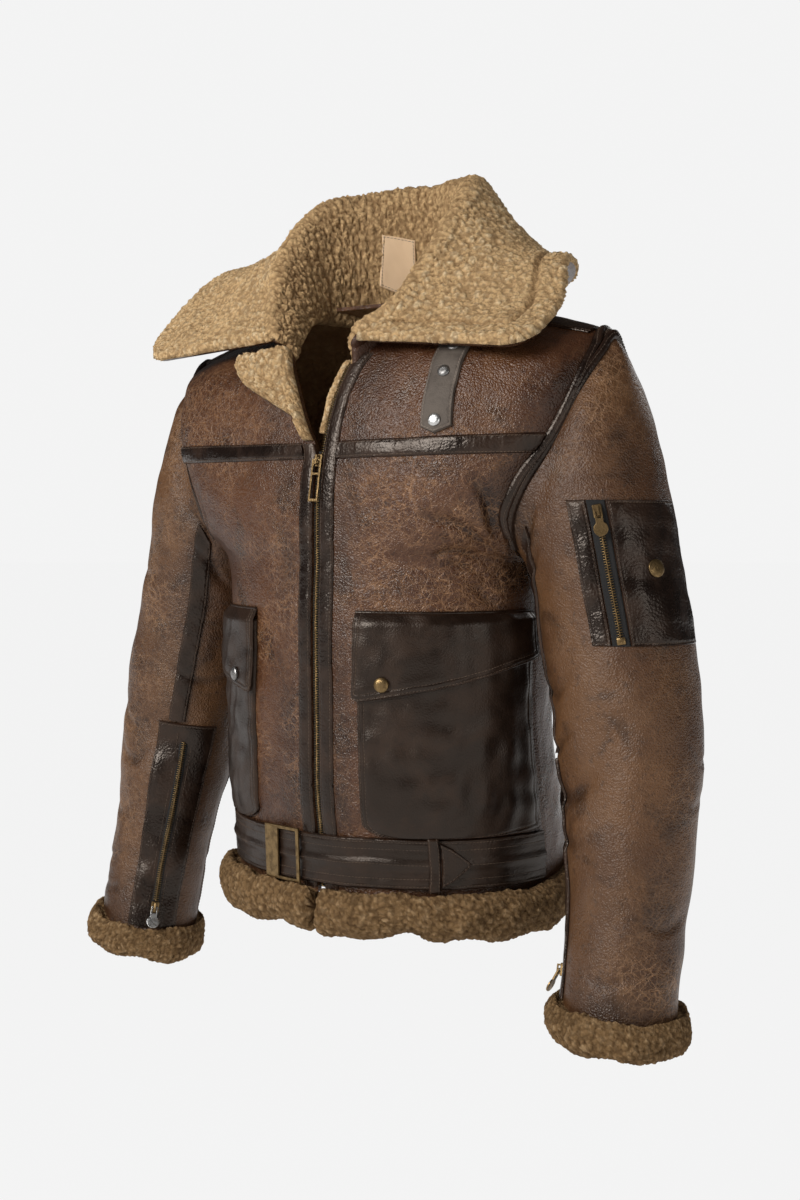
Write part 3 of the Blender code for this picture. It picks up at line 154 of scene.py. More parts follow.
def refine(values, old, new):  # a cubic through the values, along their first axis
    values, old = np.asarray(values, float), np.asarray(old, float)
    slopes = np.gradient(values, old, axis=0)
    new = np.clip(np.atleast_1d(new), old[0], old[-1])
    i = np.clip(np.searchsorted(old, new) - 1, 0, len(old) - 2)
    shape = (-1,) + (1,) * (values.ndim - 1)
    h = (old[i + 1] - old[i]).reshape(shape)
    t = ((new - old[i]) / (old[i + 1] - old[i])).reshape(shape)
    start = (2 * t**3 - 3 * t**2 + 1) * values[i] + (t**3 - 2 * t**2 + t) * h * slopes[i]
    return start + (3 * t**2 - 2 * t**3) * values[i + 1] + (t**3 - t**2) * h * slopes[i + 1]


def lookUp(rows, key, value, *names):
    return np.array([refine(rows[name], rows[key], value)[0] for name in names])


def unit(vectors):
    return vectors / np.maximum(np.linalg.norm(vectors, axis=-1, keepdims=True), 1e-12)


def gridNormals(points, closed=False):
    down = np.gradient(points, axis=0)
    across = np.gradient(points, axis=1)
    if closed:  # the last column repeats the first
        across[:, 0] = across[:, -1] = (points[:, 1] - points[:, -2]) / 2
    return unit(np.cross(across, down))


def pick(grid, r, c):  # a grid's value between its points
    r, c = np.asarray(r, float), np.asarray(c, float)
    r0 = np.clip(np.floor(r).astype(int), 0, grid.shape[0] - 2)
    c0 = np.clip(np.floor(c).astype(int), 0, grid.shape[1] - 2)
    u, v = r - r0, c - c0
    if grid.ndim == 3:
        u, v = u[..., None], v[..., None]
    low = grid[r0, c0] * (1 - v) + grid[r0, c0 + 1] * v
    high = grid[r0 + 1, c0] * (1 - v) + grid[r0 + 1, c0 + 1] * v
    return low * (1 - u) + high * u


class Panel:  # a smooth surface with its own rise and step, and a way out of it everywhere
    def __init__(self, points, rises, steps, outward, closed=False):
        self.points, self.rises, self.steps = points, np.asarray(rises), np.asarray(steps)
        self.outward, self.closed = outward, closed
        self.renew()

    def renew(self):
        self.normals = gridNormals(self.points, self.closed) * self.outward

    def spot(self, rise, step):
        r = np.interp(rise, self.rises, np.arange(len(self.rises)))
        step = np.asarray(step, float)
        step = np.where(step < self.steps[0], step + 360, step) if self.closed else step
        c = np.interp(step, self.steps, np.arange(len(self.steps)))
        return np.broadcast_arrays(r, c)

    def at(self, rise, step, lift=0.0):
        r, c = self.spot(rise, step)
        way = unit(pick(self.normals, r, c))
        return pick(self.points, r, c) + way * np.asarray(lift)[..., None]

    def lean(self, rise, step):
        return unit(pick(self.normals, *self.spot(rise, step)))

    def near(self, rise, goal, axis):
        steps = np.linspace(self.steps[0], self.steps[-1], 600)
        return float(steps[np.argmin(np.abs(self.at(rise, steps)[:, axis] - goal))])

    def riseAt(self, height, step):
        rises = np.linspace(self.rises[0], self.rises[-1], 600)
        return float(rises[np.argmin(np.abs(self.at(rises, step)[:, 2] - height))])

    def stepsAt(self, rises, distance, back=False):  # how far in lies a distance from an edge
        lines = np.linspace(1, 0.4, 160) if back else np.linspace(0, 1, 200)
        found = []
        for rise in np.atleast_1d(rises):
            run = arcs(self.at(rise, lines), 0)
            found.append(np.interp(distance, run, lines))
        return np.array(found)


def arcs(points, axis):
    lengths = np.linalg.norm(np.diff(points, axis=axis), axis=-1)
    return np.concatenate(
        [np.zeros_like(np.take(lengths, [0], axis=axis)), np.cumsum(lengths, axis=axis)], axis=axis
    )


def folds(rows, place, across):
    total = 0.0
    for i in range(len(rows["place"])):
        run = (across - rows["across"][i]) / rows["halfLength"][i]
        off = (
            (place - rows["place"][i] - rows["slant"][i] * (across - rows["across"][i]))
            / rows["halfWidth"][i]
        )
        if abs(run) < 1:
            total += rows["depth"][i] * (1 - run * run) ** 2 * np.exp(-2 * off * off) * (1 - off * off)
    return total


def armholePoint(turn):
    return lookUp(armhole, "turn", turn, "x", "y", "z")


def bodyPanel(face, sideName, rows=(101, 81), columns=101):
    side = sides[sideName]
    edge = frontEdge[sideName] if face == "front" else backEdge
    rises = np.concatenate(
        [np.linspace(0, 1, form["lowRows"] + 1), 1 + np.arange(1, form["highRows"] + 1) / form["highRows"]]
    )
    steps = np.linspace(0, 1, form["columns"] + 1)
    grid = []
    for rise in rises:
        row = []
        for step in steps:
            if rise <= 1:
                lift = form["backLift"] * sin((1 - step) * pi / 2) ** 0.9 if face == "back" else 0.0
                hem = form["leatherHem"] + lift
                z = hem + (form["armpit"] - hem) * rise
                half, front, back, middle = lookUp(torso, "z", z, "half", "front", "back", "middle")
                start = np.array(
                    [form["zipX"], middle - front, z] if face == "front" else [0, middle + back, z]
                )
                end = np.array([side * half, middle, z])
            else:
                start = lookUp(edge, "rise", rise, "x", "y", "z")
                turn = -90 + 180 * (rise - 1)
                end = armholePoint(turn if face == "front" else -180 - turn) * [side, 1, 1]
                if face == "back":
                    start[0] *= side if rise > form["neckRise"] else 0.0
            if face == "front":
                start[0] = (form["zipX"] if rise <= 1.5 else start[0]) + side * form["zipHalf"]
            reach = sin(step * pi / 2)
            level = max(0.0, rise - 1)
            height = step**1.5 * (1 - level) + reach * level
            row.append([
                start[0] + (end[0] - start[0]) * reach,
                end[1] + (start[1] - end[1]) * cos(step * pi / 2),
                start[2] + (end[2] - start[2]) * height,
            ])
        grid.append(row)
    grid = np.array(grid)
    outward = side * (1 if face == "front" else -1)
    amount = np.array([[folds(bodyFolds, r, s) for s in steps] for r in rises])
    calm = (
        np.minimum(1, (1 - steps) * 6)[None] * np.minimum(1, (2 - rises) * 4)[:, None]
        * np.minimum(1, steps * 6)[None]
    )
    grid = grid - gridNormals(grid) * outward * (amount * calm * (1 if face == "front" else 0.8))[..., None]
    if face == "back":
        grid[rises <= form["neckRise"] + 1e-6, 0, 0] = 0
    newRises = np.concatenate([np.linspace(0, 1, rows[0]), np.linspace(1, 2, rows[1])[1:]])
    newSteps = np.linspace(0, 1, columns)
    dense = refine(grid, rises, newRises)
    dense = refine(dense.swapaxes(0, 1), steps, newSteps).swapaxes(0, 1)
    panel = Panel(dense, newRises, newSteps, outward)
    return panel


def sleeveRing(along, turn):
    ox, oz, ix, iz, cy, depth = lookUp(
        sleeveRings, "along", along, "outerX", "outerZ", "innerX", "innerZ", "middleY", "depth"
    )
    middle = np.array([(ox + ix) / 2, cy, (oz + iz) / 2])
    axis = np.array([(ox - ix) / 2, 0, (oz - iz) / 2])
    return middle + axis * sin(radians(turn)) + np.array([0, -depth, 0]) * cos(radians(turn))


def sleevePanel(sideName, rows=201, columns=161):
    side = sides[sideName]
    count = 2 * form["highRows"]
    turns = -90 + 360 * np.arange(count) / count
    alongs = np.linspace(0, 1, form["sleeveRows"] + 1) ** 1.12
    grid = []
    for along in alongs:
        keep = max(0.0, 1 - along / 0.20) ** 2
        row = []
        for turn in turns:
            loop = armholePoint(turn if turn <= 90 else turn - 360)
            tilt = np.array([0, 0, cuffSlant[sideName] * sin(radians(turn)) * along**6])
            row.append(sleeveRing(along, turn) + (loop - sleeveRing(0.0, turn)) * keep + tilt)
        grid.append(row)
    grid = np.array(grid)
    wrap = np.concatenate([grid, grid[:, :1]], axis=1)
    amount = (
        np.array([[folds(sleeveFolds, a, t) for t in turns] for a in alongs])
        * np.clip(alongs / 0.06, 0, 1)[:, None]
    )
    grid = grid + gridNormals(wrap, True)[:, :-1] * amount[..., None]
    grid = grid * [side, 1, 1]
    newAlongs = np.linspace(0, 1, rows) ** 1.06
    newTurns = np.linspace(-90, 270, columns)
    dense = refine(grid, alongs, newAlongs)
    around = np.concatenate([dense[:, -3:], dense, dense[:, :4]], axis=1)
    places = -90 + 360 / count * np.arange(-3, count + 4)
    dense = refine(around.swapaxes(0, 1), places, newTurns).swapaxes(0, 1)
    return Panel(dense, newAlongs, newTurns, -side, True)


def twist(side, along):  # how far round a sleeve its front seam has turned at a place down it
    share = np.minimum(np.asarray(along, float) / 0.55, 1.0)
    return cuffTurn[side] * share * share * (3 - 2 * share)


def riseOf(height):  # the rise at which the fronts reach a height below the armpit
    return (height - form["leatherHem"]) / (form["armpit"] - form["leatherHem"])


panels = {(face, side): bodyPanel(face, side) for face in ("front", "back") for side in sides}
arms = {side: sleevePanel(side) for side in sides}
print("form ready")

# creases: each a soft uneven trough with a lesser ridge beside it
# (rise, step) along each crease, then its half width and depth in metres
bodyCreases = {
    ("front", "left"): [
        (((1.42, 0.62), (1.30, 0.78), (1.20, 0.92)), 0.010, 0.0052),
        (((1.28, 0.44), (1.20, 0.62), (1.08, 0.84)), 0.008, 0.0050),
        (((1.05, 0.46), (1.06, 0.58), (1.01, 0.72)), 0.0050, 0.0036),
        (((0.99, 0.50), (1.00, 0.60), (0.94, 0.70)), 0.0040, 0.0028),
        (((0.93, 0.60), (0.90, 0.72), (0.84, 0.84)), 0.0060, 0.0026),
        (((1.36, 0.10), (1.30, 0.14), (1.10, 0.16)), 0.0050, 0.0014),
        (((0.30, 0.05), (0.22, 0.12), (0.12, 0.16)), 0.0050, 0.0010),
    ],
    ("front", "right"): [
        (((1.40, 0.62), (1.26, 0.78), (1.12, 0.90)), 0.009, 0.0034),
        (((1.12, 0.70), (1.02, 0.82), (0.90, 0.92)), 0.007, 0.0030),
        (((0.30, 0.14), (0.22, 0.22), (0.10, 0.26)), 0.0050, 0.0012),
        (((1.75, 0.50), (1.68, 0.66), (1.56, 0.80)), 0.0080, 0.0016),
    ],
    ("back", "left"): [
        (((1.46, 0.58), (1.32, 0.76), (1.18, 0.92)), 0.011, 0.0038),
        (((1.22, 0.60), (1.10, 0.76), (0.98, 0.90)), 0.009, 0.0030),
        (((0.74, 0.20), (0.68, 0.44), (0.70, 0.70)), 0.012, 0.0026),
        (((0.56, 0.10), (0.50, 0.36), (0.54, 0.58)), 0.010, 0.0022),
        (((1.70, 0.20), (1.60, 0.36), (1.52, 0.50)), 0.012, 0.0020),
    ],
    ("back", "right"): [
        (((1.44, 0.60), (1.30, 0.78), (1.20, 0.92)), 0.011, 0.0036),
        (((1.20, 0.56), (1.06, 0.74), (0.96, 0.90)), 0.009, 0.0030),
        (((0.80, 0.26), (0.72, 0.48), (0.76, 0.72)), 0.012, 0.0026),
        (((0.46, 0.14), (0.40, 0.36), (0.46, 0.62)), 0.010, 0.0022),
        (((1.66, 0.16), (1.58, 0.34), (1.46, 0.48)), 0.012, 0.0020),
    ],
}
sleeveCreases = {
    "left": [
        (((0.16, -60), (0.11, -40), (0.10, -14)), 0.008, 0.0026),
        (((0.24, -74), (0.19, -50), (0.17, -26)), 0.007, 0.0024),
        (((0.10, 120), (0.13, 160), (0.20, 200)), 0.009, 0.0024),
        (((0.44, -80), (0.47, -48), (0.44, -12)), 0.008, 0.0024),
        (((0.52, -86), (0.55, -50), (0.53, -18)), 0.007, 0.0030),
        (((0.60, -80), (0.62, -46), (0.60, 0)), 0.009, 0.0026),
        (((0.67, -84), (0.70, -46), (0.68, -16)), 0.007, 0.0020),
        (((0.56, 78), (0.60, 100), (0.57, 130)), 0.006, 0.0022),
        (((0.63, 70), (0.66, 96), (0.64, 126)), 0.006, 0.0018),
        (((0.80, 40), (0.84, 76), (0.81, 110)), 0.008, 0.0018),
        (((0.90, -20), (0.93, 20), (0.90, 60)), 0.008, 0.0016),
        (((0.86, 150), (0.88, 190), (0.85, 240)), 0.008, 0.0020),
        (((0.42, 180), (0.46, 220), (0.44, 260)), 0.009, 0.0026),
        (((0.56, 180), (0.60, 216), (0.57, 256)), 0.009, 0.0026),
    ],
    "right": [
        (((0.14, -58), (0.10, -34), (0.10, -8)), 0.008, 0.0026),
        (((0.22, -74), (0.18, -48), (0.17, -20)), 0.007, 0.0024),
        (((0.10, 120), (0.13, 160), (0.20, 200)), 0.009, 0.0024),
        (((0.30, -10), (0.33, 30), (0.31, 60)), 0.010, 0.0016),
        (((0.46, -82), (0.49, -50), (0.46, -20)), 0.007, 0.0026),
        (((0.55, -20), (0.58, 20), (0.55, 62)), 0.009, 0.0022),
        (((0.62, -24), (0.64, 10), (0.62, 48)), 0.008, 0.0018),
        (((0.72, -10), (0.75, 26), (0.72, 60)), 0.008, 0.0018),
        (((0.82, 0), (0.85, 30), (0.83, 70)), 0.008, 0.0016),
        (((0.90, -10), (0.93, 24), (0.90, 60)), 0.007, 0.0014),
        (((0.44, 180), (0.48, 220), (0.46, 260)), 0.009, 0.0026),
        (((0.58, 176), (0.62, 216), (0.60, 256)), 0.009, 0.0026),
        (((0.84, 150), (0.87, 190), (0.85, 240)), 0.008, 0.0020),
    ],
}


def creased(panel, creases):  # how far each point of a panel sinks into its creases
    flat = panel.points.reshape(-1, 3)
    ways = panel.normals.reshape(-1, 3)
    sink = np.zeros(len(flat))
    for spots, width, depth in creases:
        spots = np.array(spots)
        t = np.linspace(0, len(spots) - 1, 28)
        path = refine(spots, np.arange(len(spots)), t)
        line = panel.at(path[:, 0], path[:, 1])
        line += (
            unit(np.cross(np.gradient(line, axis=0), panel.lean(path[:, 0], path[:, 1])))
            * (np.sin(t * 3.1 + depth * 4000) * width * 0.5)[:, None]
        )
        close = (
            np.linalg.norm(flat - line.mean(0), axis=1) < np.linalg.norm(line - line.mean(0), axis=1).max()
            + 4 * width
        )
        near = flat[close]
        gaps = np.linalg.norm(near[:, None] - line[None], axis=2)
        k = gaps.argmin(1)
        gap = gaps.min(1)
        tangent = unit(np.gradient(line, axis=0))[k]
        hand = np.sign(np.sum(np.cross(tangent, near - line[k]) * ways[close], axis=1))
        spread = width * (1 + 0.35 * hand)
        share = k / (len(t) - 1)
        fade = np.sin(pi * np.clip(share, 0, 1)) ** 0.7 * np.where((k == 0) | (k == len(t) - 1), 0.4, 1)
        off = gap / spread
        sink[close] += depth * fade * np.exp(-off * off) * (1 - 1.1 * off * off)
    return sink.reshape(panel.points.shape[:2])


def ripple(points, size, seed, waves=9):  # smooth, even unevenness of about one wavelength
    found = np.random.default_rng(seed)
    ways = unit(found.normal(size=(waves, 3)))
    total = 0.0
    for way, phase, scale in zip(ways, found.uniform(0, 2 * pi, waves), found.uniform(0.75, 1.35, waves)):
        total = total + np.sin(points @ way * (2 * pi / (size * scale)) + phase)
    return total / np.sqrt(waves)


for key, panel in panels.items():
    seed = 3 + 5 * list(panels).index(key)
    calm = np.minimum(1, (1 - panel.steps) * 14)[None] * np.minimum(1, panel.steps * 12)[None]
    calm = calm * np.minimum(1, (2 - panel.rises) * 10)[:, None] * np.minimum(1, panel.rises * 12)[:, None]
    deep = creased(panel, bodyCreases[key])
    rough = 0.0009 * ripple(panel.points, 0.075, seed) + 0.00035 * ripple(panel.points, 0.026, seed + 1)
    panel.depth = (deep - rough * 0.5) * calm
    panel.points = panel.points - panel.normals * ((deep + rough) * calm)[..., None]
    panel.renew()
for side, arm in arms.items():
    seed = 40 + 7 * list(arms).index(side)
    calm = np.minimum(1, arm.rises * 16)[:, None] * np.minimum(1, (1 - arm.rises) * 20)[:, None]
    deep = creased(arm, sleeveCreases[side])
    rough = 0.0010 * ripple(arm.points, 0.080, seed) + 0.00035 * ripple(arm.points, 0.028, seed + 1)
    arm.depth = (deep - rough * 0.5) * calm
    arm.points = arm.points - arm.normals * ((deep + rough) * calm)[..., None]
    arm.points[:, -1] = arm.points[:, 0]
    arm.renew()
print("creases pressed")

# finishes
def builder(tree):  # places a node, sets its inputs and joins its links
    def node(kind, links=None, **settings):
        made = tree.nodes.new(kind)
        for key, value in settings.items():
            setattr(made, key, value)
        for key, value in (links or {}).items():
            if isinstance(value, bpy.types.NodeSocket):
                tree.links.new(value, made.inputs[key])
            else:
                made.inputs[key].default_value = value
        return made

    return node


def newGroup(name, inputs, outputs):
    tree = bpy.data.node_groups.new(name, "ShaderNodeTree")
    for title, kind, value in inputs:
        socket = tree.interface.new_socket(title, in_out="INPUT", socket_type=kind)
        if value is not None:
            socket.default_value = value
    for title, kind in outputs:
        tree.interface.new_socket(title, in_out="OUTPUT", socket_type=kind)
    node = builder(tree)
    return tree, node, node("NodeGroupInput").outputs, node("NodeGroupOutput").inputs


scalar, vector = "NodeSocketFloat", "NodeSocketVector"


def blotchGroup():  # large soft patches, from 0 to 1
    tree, node, given, put = newGroup("Soft blotches", [
        ("Vector", vector, None), ("Scale", scalar, 10.0), ("From", scalar, 0.4), ("To", scalar, 0.6),
    ], [("Mask", scalar)])
    cloud = node(
        "ShaderNodeTexNoise",
        {
            "Vector": given["Vector"], "Scale": given["Scale"], "Detail": 5.0, "Roughness": 0.58,
            "Distortion": 0.4
        }
    )
    mask = node("ShaderNodeMapRange", {
        "Value": cloud.outputs["Fac"], "From Min": given["From"], "From Max": given["To"],
    }, interpolation_type="SMOOTHSTEP")
    tree.links.new(mask.outputs["Result"], put["Mask"])
    return tree


def crackleGroup():  # a net of fine crossing lines, from 0 to 1
    tree, node, given, put = newGroup("Crackle lines", [
        ("Vector", vector, None), ("Scale", scalar, 90.0), ("Width", scalar, 0.05), ("Warp", scalar, 0.004),
        ("Turn", scalar, 0.0),
    ], [("Lines", scalar)])
    cloud = node(
        "ShaderNodeTexNoise", {"Vector": given["Vector"], "Scale": 55.0, "Detail": 4.0, "Roughness": 0.7}
    )
    centred = node(
        "ShaderNodeVectorMath", {0: cloud.outputs["Color"], 1: (0.5, 0.5, 0.5)}, operation="SUBTRACT"
    )
    pushed = node("ShaderNodeVectorMath", {0: centred.outputs[0], "Scale": given["Warp"]}, operation="SCALE")
    placed = node("ShaderNodeVectorMath", {0: given["Vector"], 1: pushed.outputs[0]}, operation="ADD")
    turned = node(
        "ShaderNodeVectorRotate",
        {"Vector": placed.outputs[0], "Angle": given["Turn"], "Axis": (0.3, 1.0, 0.0)},
        rotation_type="AXIS_ANGLE"
    )
    drawn = node("ShaderNodeVectorMath", {0: turned.outputs[0], 1: (0.30, 0.6, 1.0)}, operation="MULTIPLY")
    cells = node(
        "ShaderNodeTexVoronoi", {"Vector": drawn.outputs[0], "Scale": given["Scale"], "Randomness": 1.0},
        feature="DISTANCE_TO_EDGE"
    )
    lines = node("ShaderNodeMapRange", {
        "Value": cells.outputs[
            "Distance"
        ], "From Min": 0.0, "From Max": given["Width"], "To Min": 1.0, "To Max": 0.0,
    }, interpolation_type="SMOOTHSTEP")
    tree.links.new(lines.outputs["Result"], put["Lines"])
    return tree


def grainGroup():  # pebbled hide: little cushions with creases between, over a soft crumple
    tree, node, given, put = newGroup("Hide grain", [
        ("Vector", vector, None), (
            "Pebble", scalar, 520.0
        ), ("Crumple", scalar, 70.0), ("Crumpled", scalar, 0.5),
    ], [("Height", scalar), ("Pores", scalar)])
    cells = node(
        "ShaderNodeTexVoronoi",
        {"Vector": given["Vector"], "Scale": given["Pebble"], "Smoothness": 0.5, "Randomness": 0.95},
        feature="SMOOTH_F1"
    )
    small = node(
        "ShaderNodeTexNoise",
        {"Vector": given["Vector"], "Scale": given["Pebble"], "Detail": 3.0, "Roughness": 0.65}
    )
    broad = node(
        "ShaderNodeTexNoise",
        {
            "Vector": given["Vector"], "Scale": given["Crumple"], "Detail": 4.0, "Roughness": 0.55,
            "Distortion": 0.9
        }
    )
    pebbles = node("ShaderNodeMath", {0: cells.outputs["Distance"], 1: -0.55}, operation="MULTIPLY")
    fine = node(
        "ShaderNodeMath", {0: small.outputs["Fac"], 1: 0.35, 2: pebbles.outputs[0]}, operation="MULTIPLY_ADD"
    )
    rolling = node("ShaderNodeMath", {0: broad.outputs["Fac"], 1: given["Crumpled"]}, operation="MULTIPLY")
    height = node("ShaderNodeMath", {0: fine.outputs[0], 1: rolling.outputs[0]}, operation="ADD")
    tree.links.new(height.outputs[0], put["Height"])
    tree.links.new(cells.outputs["Distance"], put["Pores"])
    return tree


groups = {"blotch": blotchGroup(), "crackle": crackleGroup(), "grain": grainGroup()}


def newMaterial(name):
    made = bpy.data.materials.new(name)
    made.use_nodes = True
    node = builder(made.node_tree)
    shader = made.node_tree.nodes["Principled BSDF"]
    return made, node, shader, made.node_tree.links


def effect(node, kind, vectorSocket, **values):
    made = node("ShaderNodeGroup", node_tree=groups[kind])
    for key, value in values.items():
        made.inputs[key].default_value = value
    made.id_data.links.new(vectorSocket, made.inputs["Vector"])
    return made.outputs


def blend(node, mask, first, second):
    mix = node("ShaderNodeMix", {"Factor": mask}, data_type="RGBA")
    for place, value in ((6, first), (7, second)):
        if isinstance(value, bpy.types.NodeSocket):
            mix.id_data.links.new(value, mix.inputs[place])
        else:
            mix.inputs[place].default_value = (*value, 1)
    return mix.outputs[2]


def scaled(node, value, factor, added):
    return node("ShaderNodeMath", {0: value, 1: factor, 2: added}, operation="MULTIPLY_ADD").outputs[0]


def smoothly(node, value, low, high):  # from 0 at low to 1 at high, with soft ends
    asked = {"Value": value, "From Min": low, "From Max": high}
    return node("ShaderNodeMapRange", asked, interpolation_type="SMOOTHSTEP").outputs["Result"]


def times(node, first, second):
    return node("ShaderNodeMath", {0: first, 1: second}, operation="MULTIPLY").outputs[0]


def plus(node, first, second):
    return node("ShaderNodeMath", {0: first, 1: second}, operation="ADD").outputs[0]


hideLook = {
    "deep": (0.0105, 0.0042, 0.0023), "brown": (0.045, 0.0152, 0.0060), "warm": (0.075, 0.0275, 0.0100),
    "tan": (0.250, 0.130, 0.062), "roughness": 0.32, "grain": 0.75, "net": 0.85,
}
sleeveLook = {
    "deep": (0.015, 0.0064, 0.0034), "brown": (0.060, 0.0240, 0.0088), "warm": (0.098, 0.0430, 0.0155),
    "tan": (0.290, 0.160, 0.080), "roughness": 0.42, "grain": 0.75, "net": 0.80,
}


def hideMaterial(name, look):  # distressed leather: mottled, crackled where it is rubbed, with painted shade in its creases and shaded parts, mixed with burnish at seams
    made, node, shader, links = newMaterial(name)
    place = node("ShaderNodeTexCoord").outputs["Object"]
    shadeAndBurnishMask = node("ShaderNodeAttribute", attribute_name="shadeAndBurnish").outputs["Fac"]
    rubbed = node("ShaderNodeAttribute", attribute_name="rub").outputs["Fac"]
    netted = node("ShaderNodeAttribute", attribute_name="crackle").outputs["Fac"]
    broad = effect(node, "blotch", place, Scale=7.5, From=0.36, To=0.62)["Mask"]
    patches = effect(node, "blotch", place, Scale=26.0, From=0.50, To=0.70)["Mask"]
    specks = effect(node, "blotch", place, Scale=150.0, From=0.56, To=0.72)["Mask"]
    where = effect(node, "blotch", place, Scale=15.0, From=0.38, To=0.60)["Mask"]
    nets = [
        effect(node, "crackle", place, Scale=size, Width=width, Warp=warp, Turn=turn)["Lines"]
        for size, width, warp, turn in (
            (95.0, 0.050, 0.010, 0.6), (
                110.0, 0.050, 0.010, -0.5
            ), (150.0, 0.070, 0.012, 1.7), (210.0, 0.100, 0.008, 2.5),
        )
    ]
    wide = node("ShaderNodeMath", {0: nets[0], 1: nets[1]}, operation="MAXIMUM").outputs[0]
    fine = node("ShaderNodeMath", {0: nets[2], 1: nets[3]}, operation="MAXIMUM").outputs[0]
    grain = effect(node, "grain", place, Pebble=560.0, Crumple=85.0, Crumpled=0.65)
    base = blend(node, broad, look["brown"], look["warm"])
    base = blend(node, times(node, patches, 0.62), base, look["deep"])
    base = blend(node, times(node, specks, 0.55), base, look["deep"])
    # painted shade: the hide goes to its deep colour in creases, beside trims and where the near sleeve shades the
    # torso, mixed with real burnish
    base = blend(node, shadeAndBurnishMask, base, look["deep"])
    lines = plus(node, times(node, wide, 0.75), times(node, fine, 0.55))
    lines = node(
        "ShaderNodeMath", {0: times(node, lines, netted), 1: plus(node, times(node, where, 0.80), 0.20)},
        operation="MULTIPLY", use_clamp=True
    ).outputs[0]
    base = blend(node, times(node, lines, look["net"]), base, look["tan"])
    base = blend(node, times(node, rubbed, 0.45), base, look["tan"])
    links.new(base, shader.inputs["Base Color"])
    rough = scaled(node, specks, 0.10, look["roughness"])
    rough = scaled(node, patches, -0.10, rough)
    links.new(rough, shader.inputs["Roughness"])
    height = scaled(node, lines, -0.55, grain["Height"])
    bump = node("ShaderNodeBump", {"Height": height, "Strength": look["grain"], "Distance": 0.0016})
    links.new(bump.outputs["Normal"], shader.inputs["Normal"])
    shader.inputs["Specular IOR Level"].default_value = 0.42
    shader.inputs["Specular Tint"].default_value = (1.0, 0.93, 0.87, 1)
    return made


def trimMaterial(name, dark, lighter, roughness, bumped, pebble=420.0, crumple=120.0, crumpled=1.0):
    made, node, shader, links = newMaterial(name)
    place = node("ShaderNodeTexCoord").outputs["Object"]
    rubbed = node("ShaderNodeAttribute", attribute_name="rub").outputs["Fac"]
    broad = effect(node, "blotch", place, Scale=22.0, From=0.40, To=0.66)["Mask"]
    fine = effect(node, "blotch", place, Scale=130.0, From=0.48, To=0.72)["Mask"]
    grain = effect(node, "grain", place, Pebble=pebble, Crumple=crumple, Crumpled=crumpled)
    base = blend(node, broad, dark, lighter)
    base = blend(node, times(node, fine, 0.35), base, tuple(c * 0.5 for c in dark))
    base = blend(node, times(node, rubbed, 0.45), base, tuple(min(1.0, c * 2.4) for c in lighter))
    links.new(base, shader.inputs["Base Color"])
    rough = scaled(node, broad, 0.12, roughness)
    links.new(rough, shader.inputs["Roughness"])
    bump = node("ShaderNodeBump", {"Height": grain["Height"], "Strength": bumped, "Distance": 0.0012})
    links.new(bump.outputs["Normal"], shader.inputs["Normal"])
    shader.inputs["Specular IOR Level"].default_value = 0.42
    shader.inputs["Specular Tint"].default_value = (1.0, 0.86, 0.74, 1)
    return made


def fleeceMaterial(name, creviceShade, middle, tip, fuzz=0.85):  # wool curls: painted shade in the crevices between them, paler towards their tips
    made, node, shader, links = newMaterial(name)
    place = node("ShaderNodeTexCoord").outputs["Object"]
    curl = node("ShaderNodeAttribute", attribute_name="curl").outputs["Fac"]
    tone = effect(node, "blotch", place, Scale=34.0, From=0.36, To=0.66)["Mask"]
    strands = node(
        "ShaderNodeTexNoise",
        {"Vector": place, "Scale": 620.0, "Detail": 4.0, "Roughness": 0.75, "Distortion": 1.6}
    )
    swirl = node("ShaderNodeTexNoise", {"Vector": place, "Scale": 180.0, "Detail": 2.0})
    moved = node("ShaderNodeVectorMath", {0: swirl.outputs["Color"], "Scale": 0.0050}, operation="SCALE")
    warped = node("ShaderNodeVectorMath", {0: place, 1: moved.outputs[0]}, operation="ADD")
    lumps = node(
        "ShaderNodeTexVoronoi", {"Vector": warped.outputs[0], "Scale": 215.0, "Smoothness": 0.25},
        feature="SMOOTH_F1"
    )
    between = smoothly(node, lumps.outputs["Distance"], 0.34, 0.72)
    inner = smoothly(node, curl, 0.02, 0.42)
    outer = smoothly(node, curl, 0.40, 0.98)
    # low curl values take the painted crevice shade
    base = blend(node, inner, creviceShade, middle)
    base = blend(node, outer, base, tip)
    base = blend(node, times(node, tone, 0.35), base, tuple(c * 0.66 for c in middle))
    dips = node(
        "ShaderNodeMapRange", {"Value": strands.outputs["Fac"], "From Min": 0.62, "From Max": 0.30}
    ).outputs["Result"]
    # painted shade in the dips between fibres
    base = blend(node, times(node, dips, 0.30), base, creviceShade)
    # painted shade in the gaps between lumps
    base = blend(node, times(node, between, 0.50), base, creviceShade)
    links.new(base, shader.inputs["Base Color"])
    rough = node(
        "ShaderNodeMath", {0: dips, 1: 0.10, 2: 0.86}, operation="MULTIPLY_ADD", use_clamp=True
    ).outputs[0]
    links.new(rough, shader.inputs["Roughness"])
    height = scaled(node, lumps.outputs["Distance"], -1.6, strands.outputs["Fac"])
    bump = node("ShaderNodeBump", {"Height": height, "Strength": fuzz, "Distance": 0.0030})
    links.new(bump.outputs["Normal"], shader.inputs["Normal"])
    shader.inputs["Specular IOR Level"].default_value = 0.08
    return made


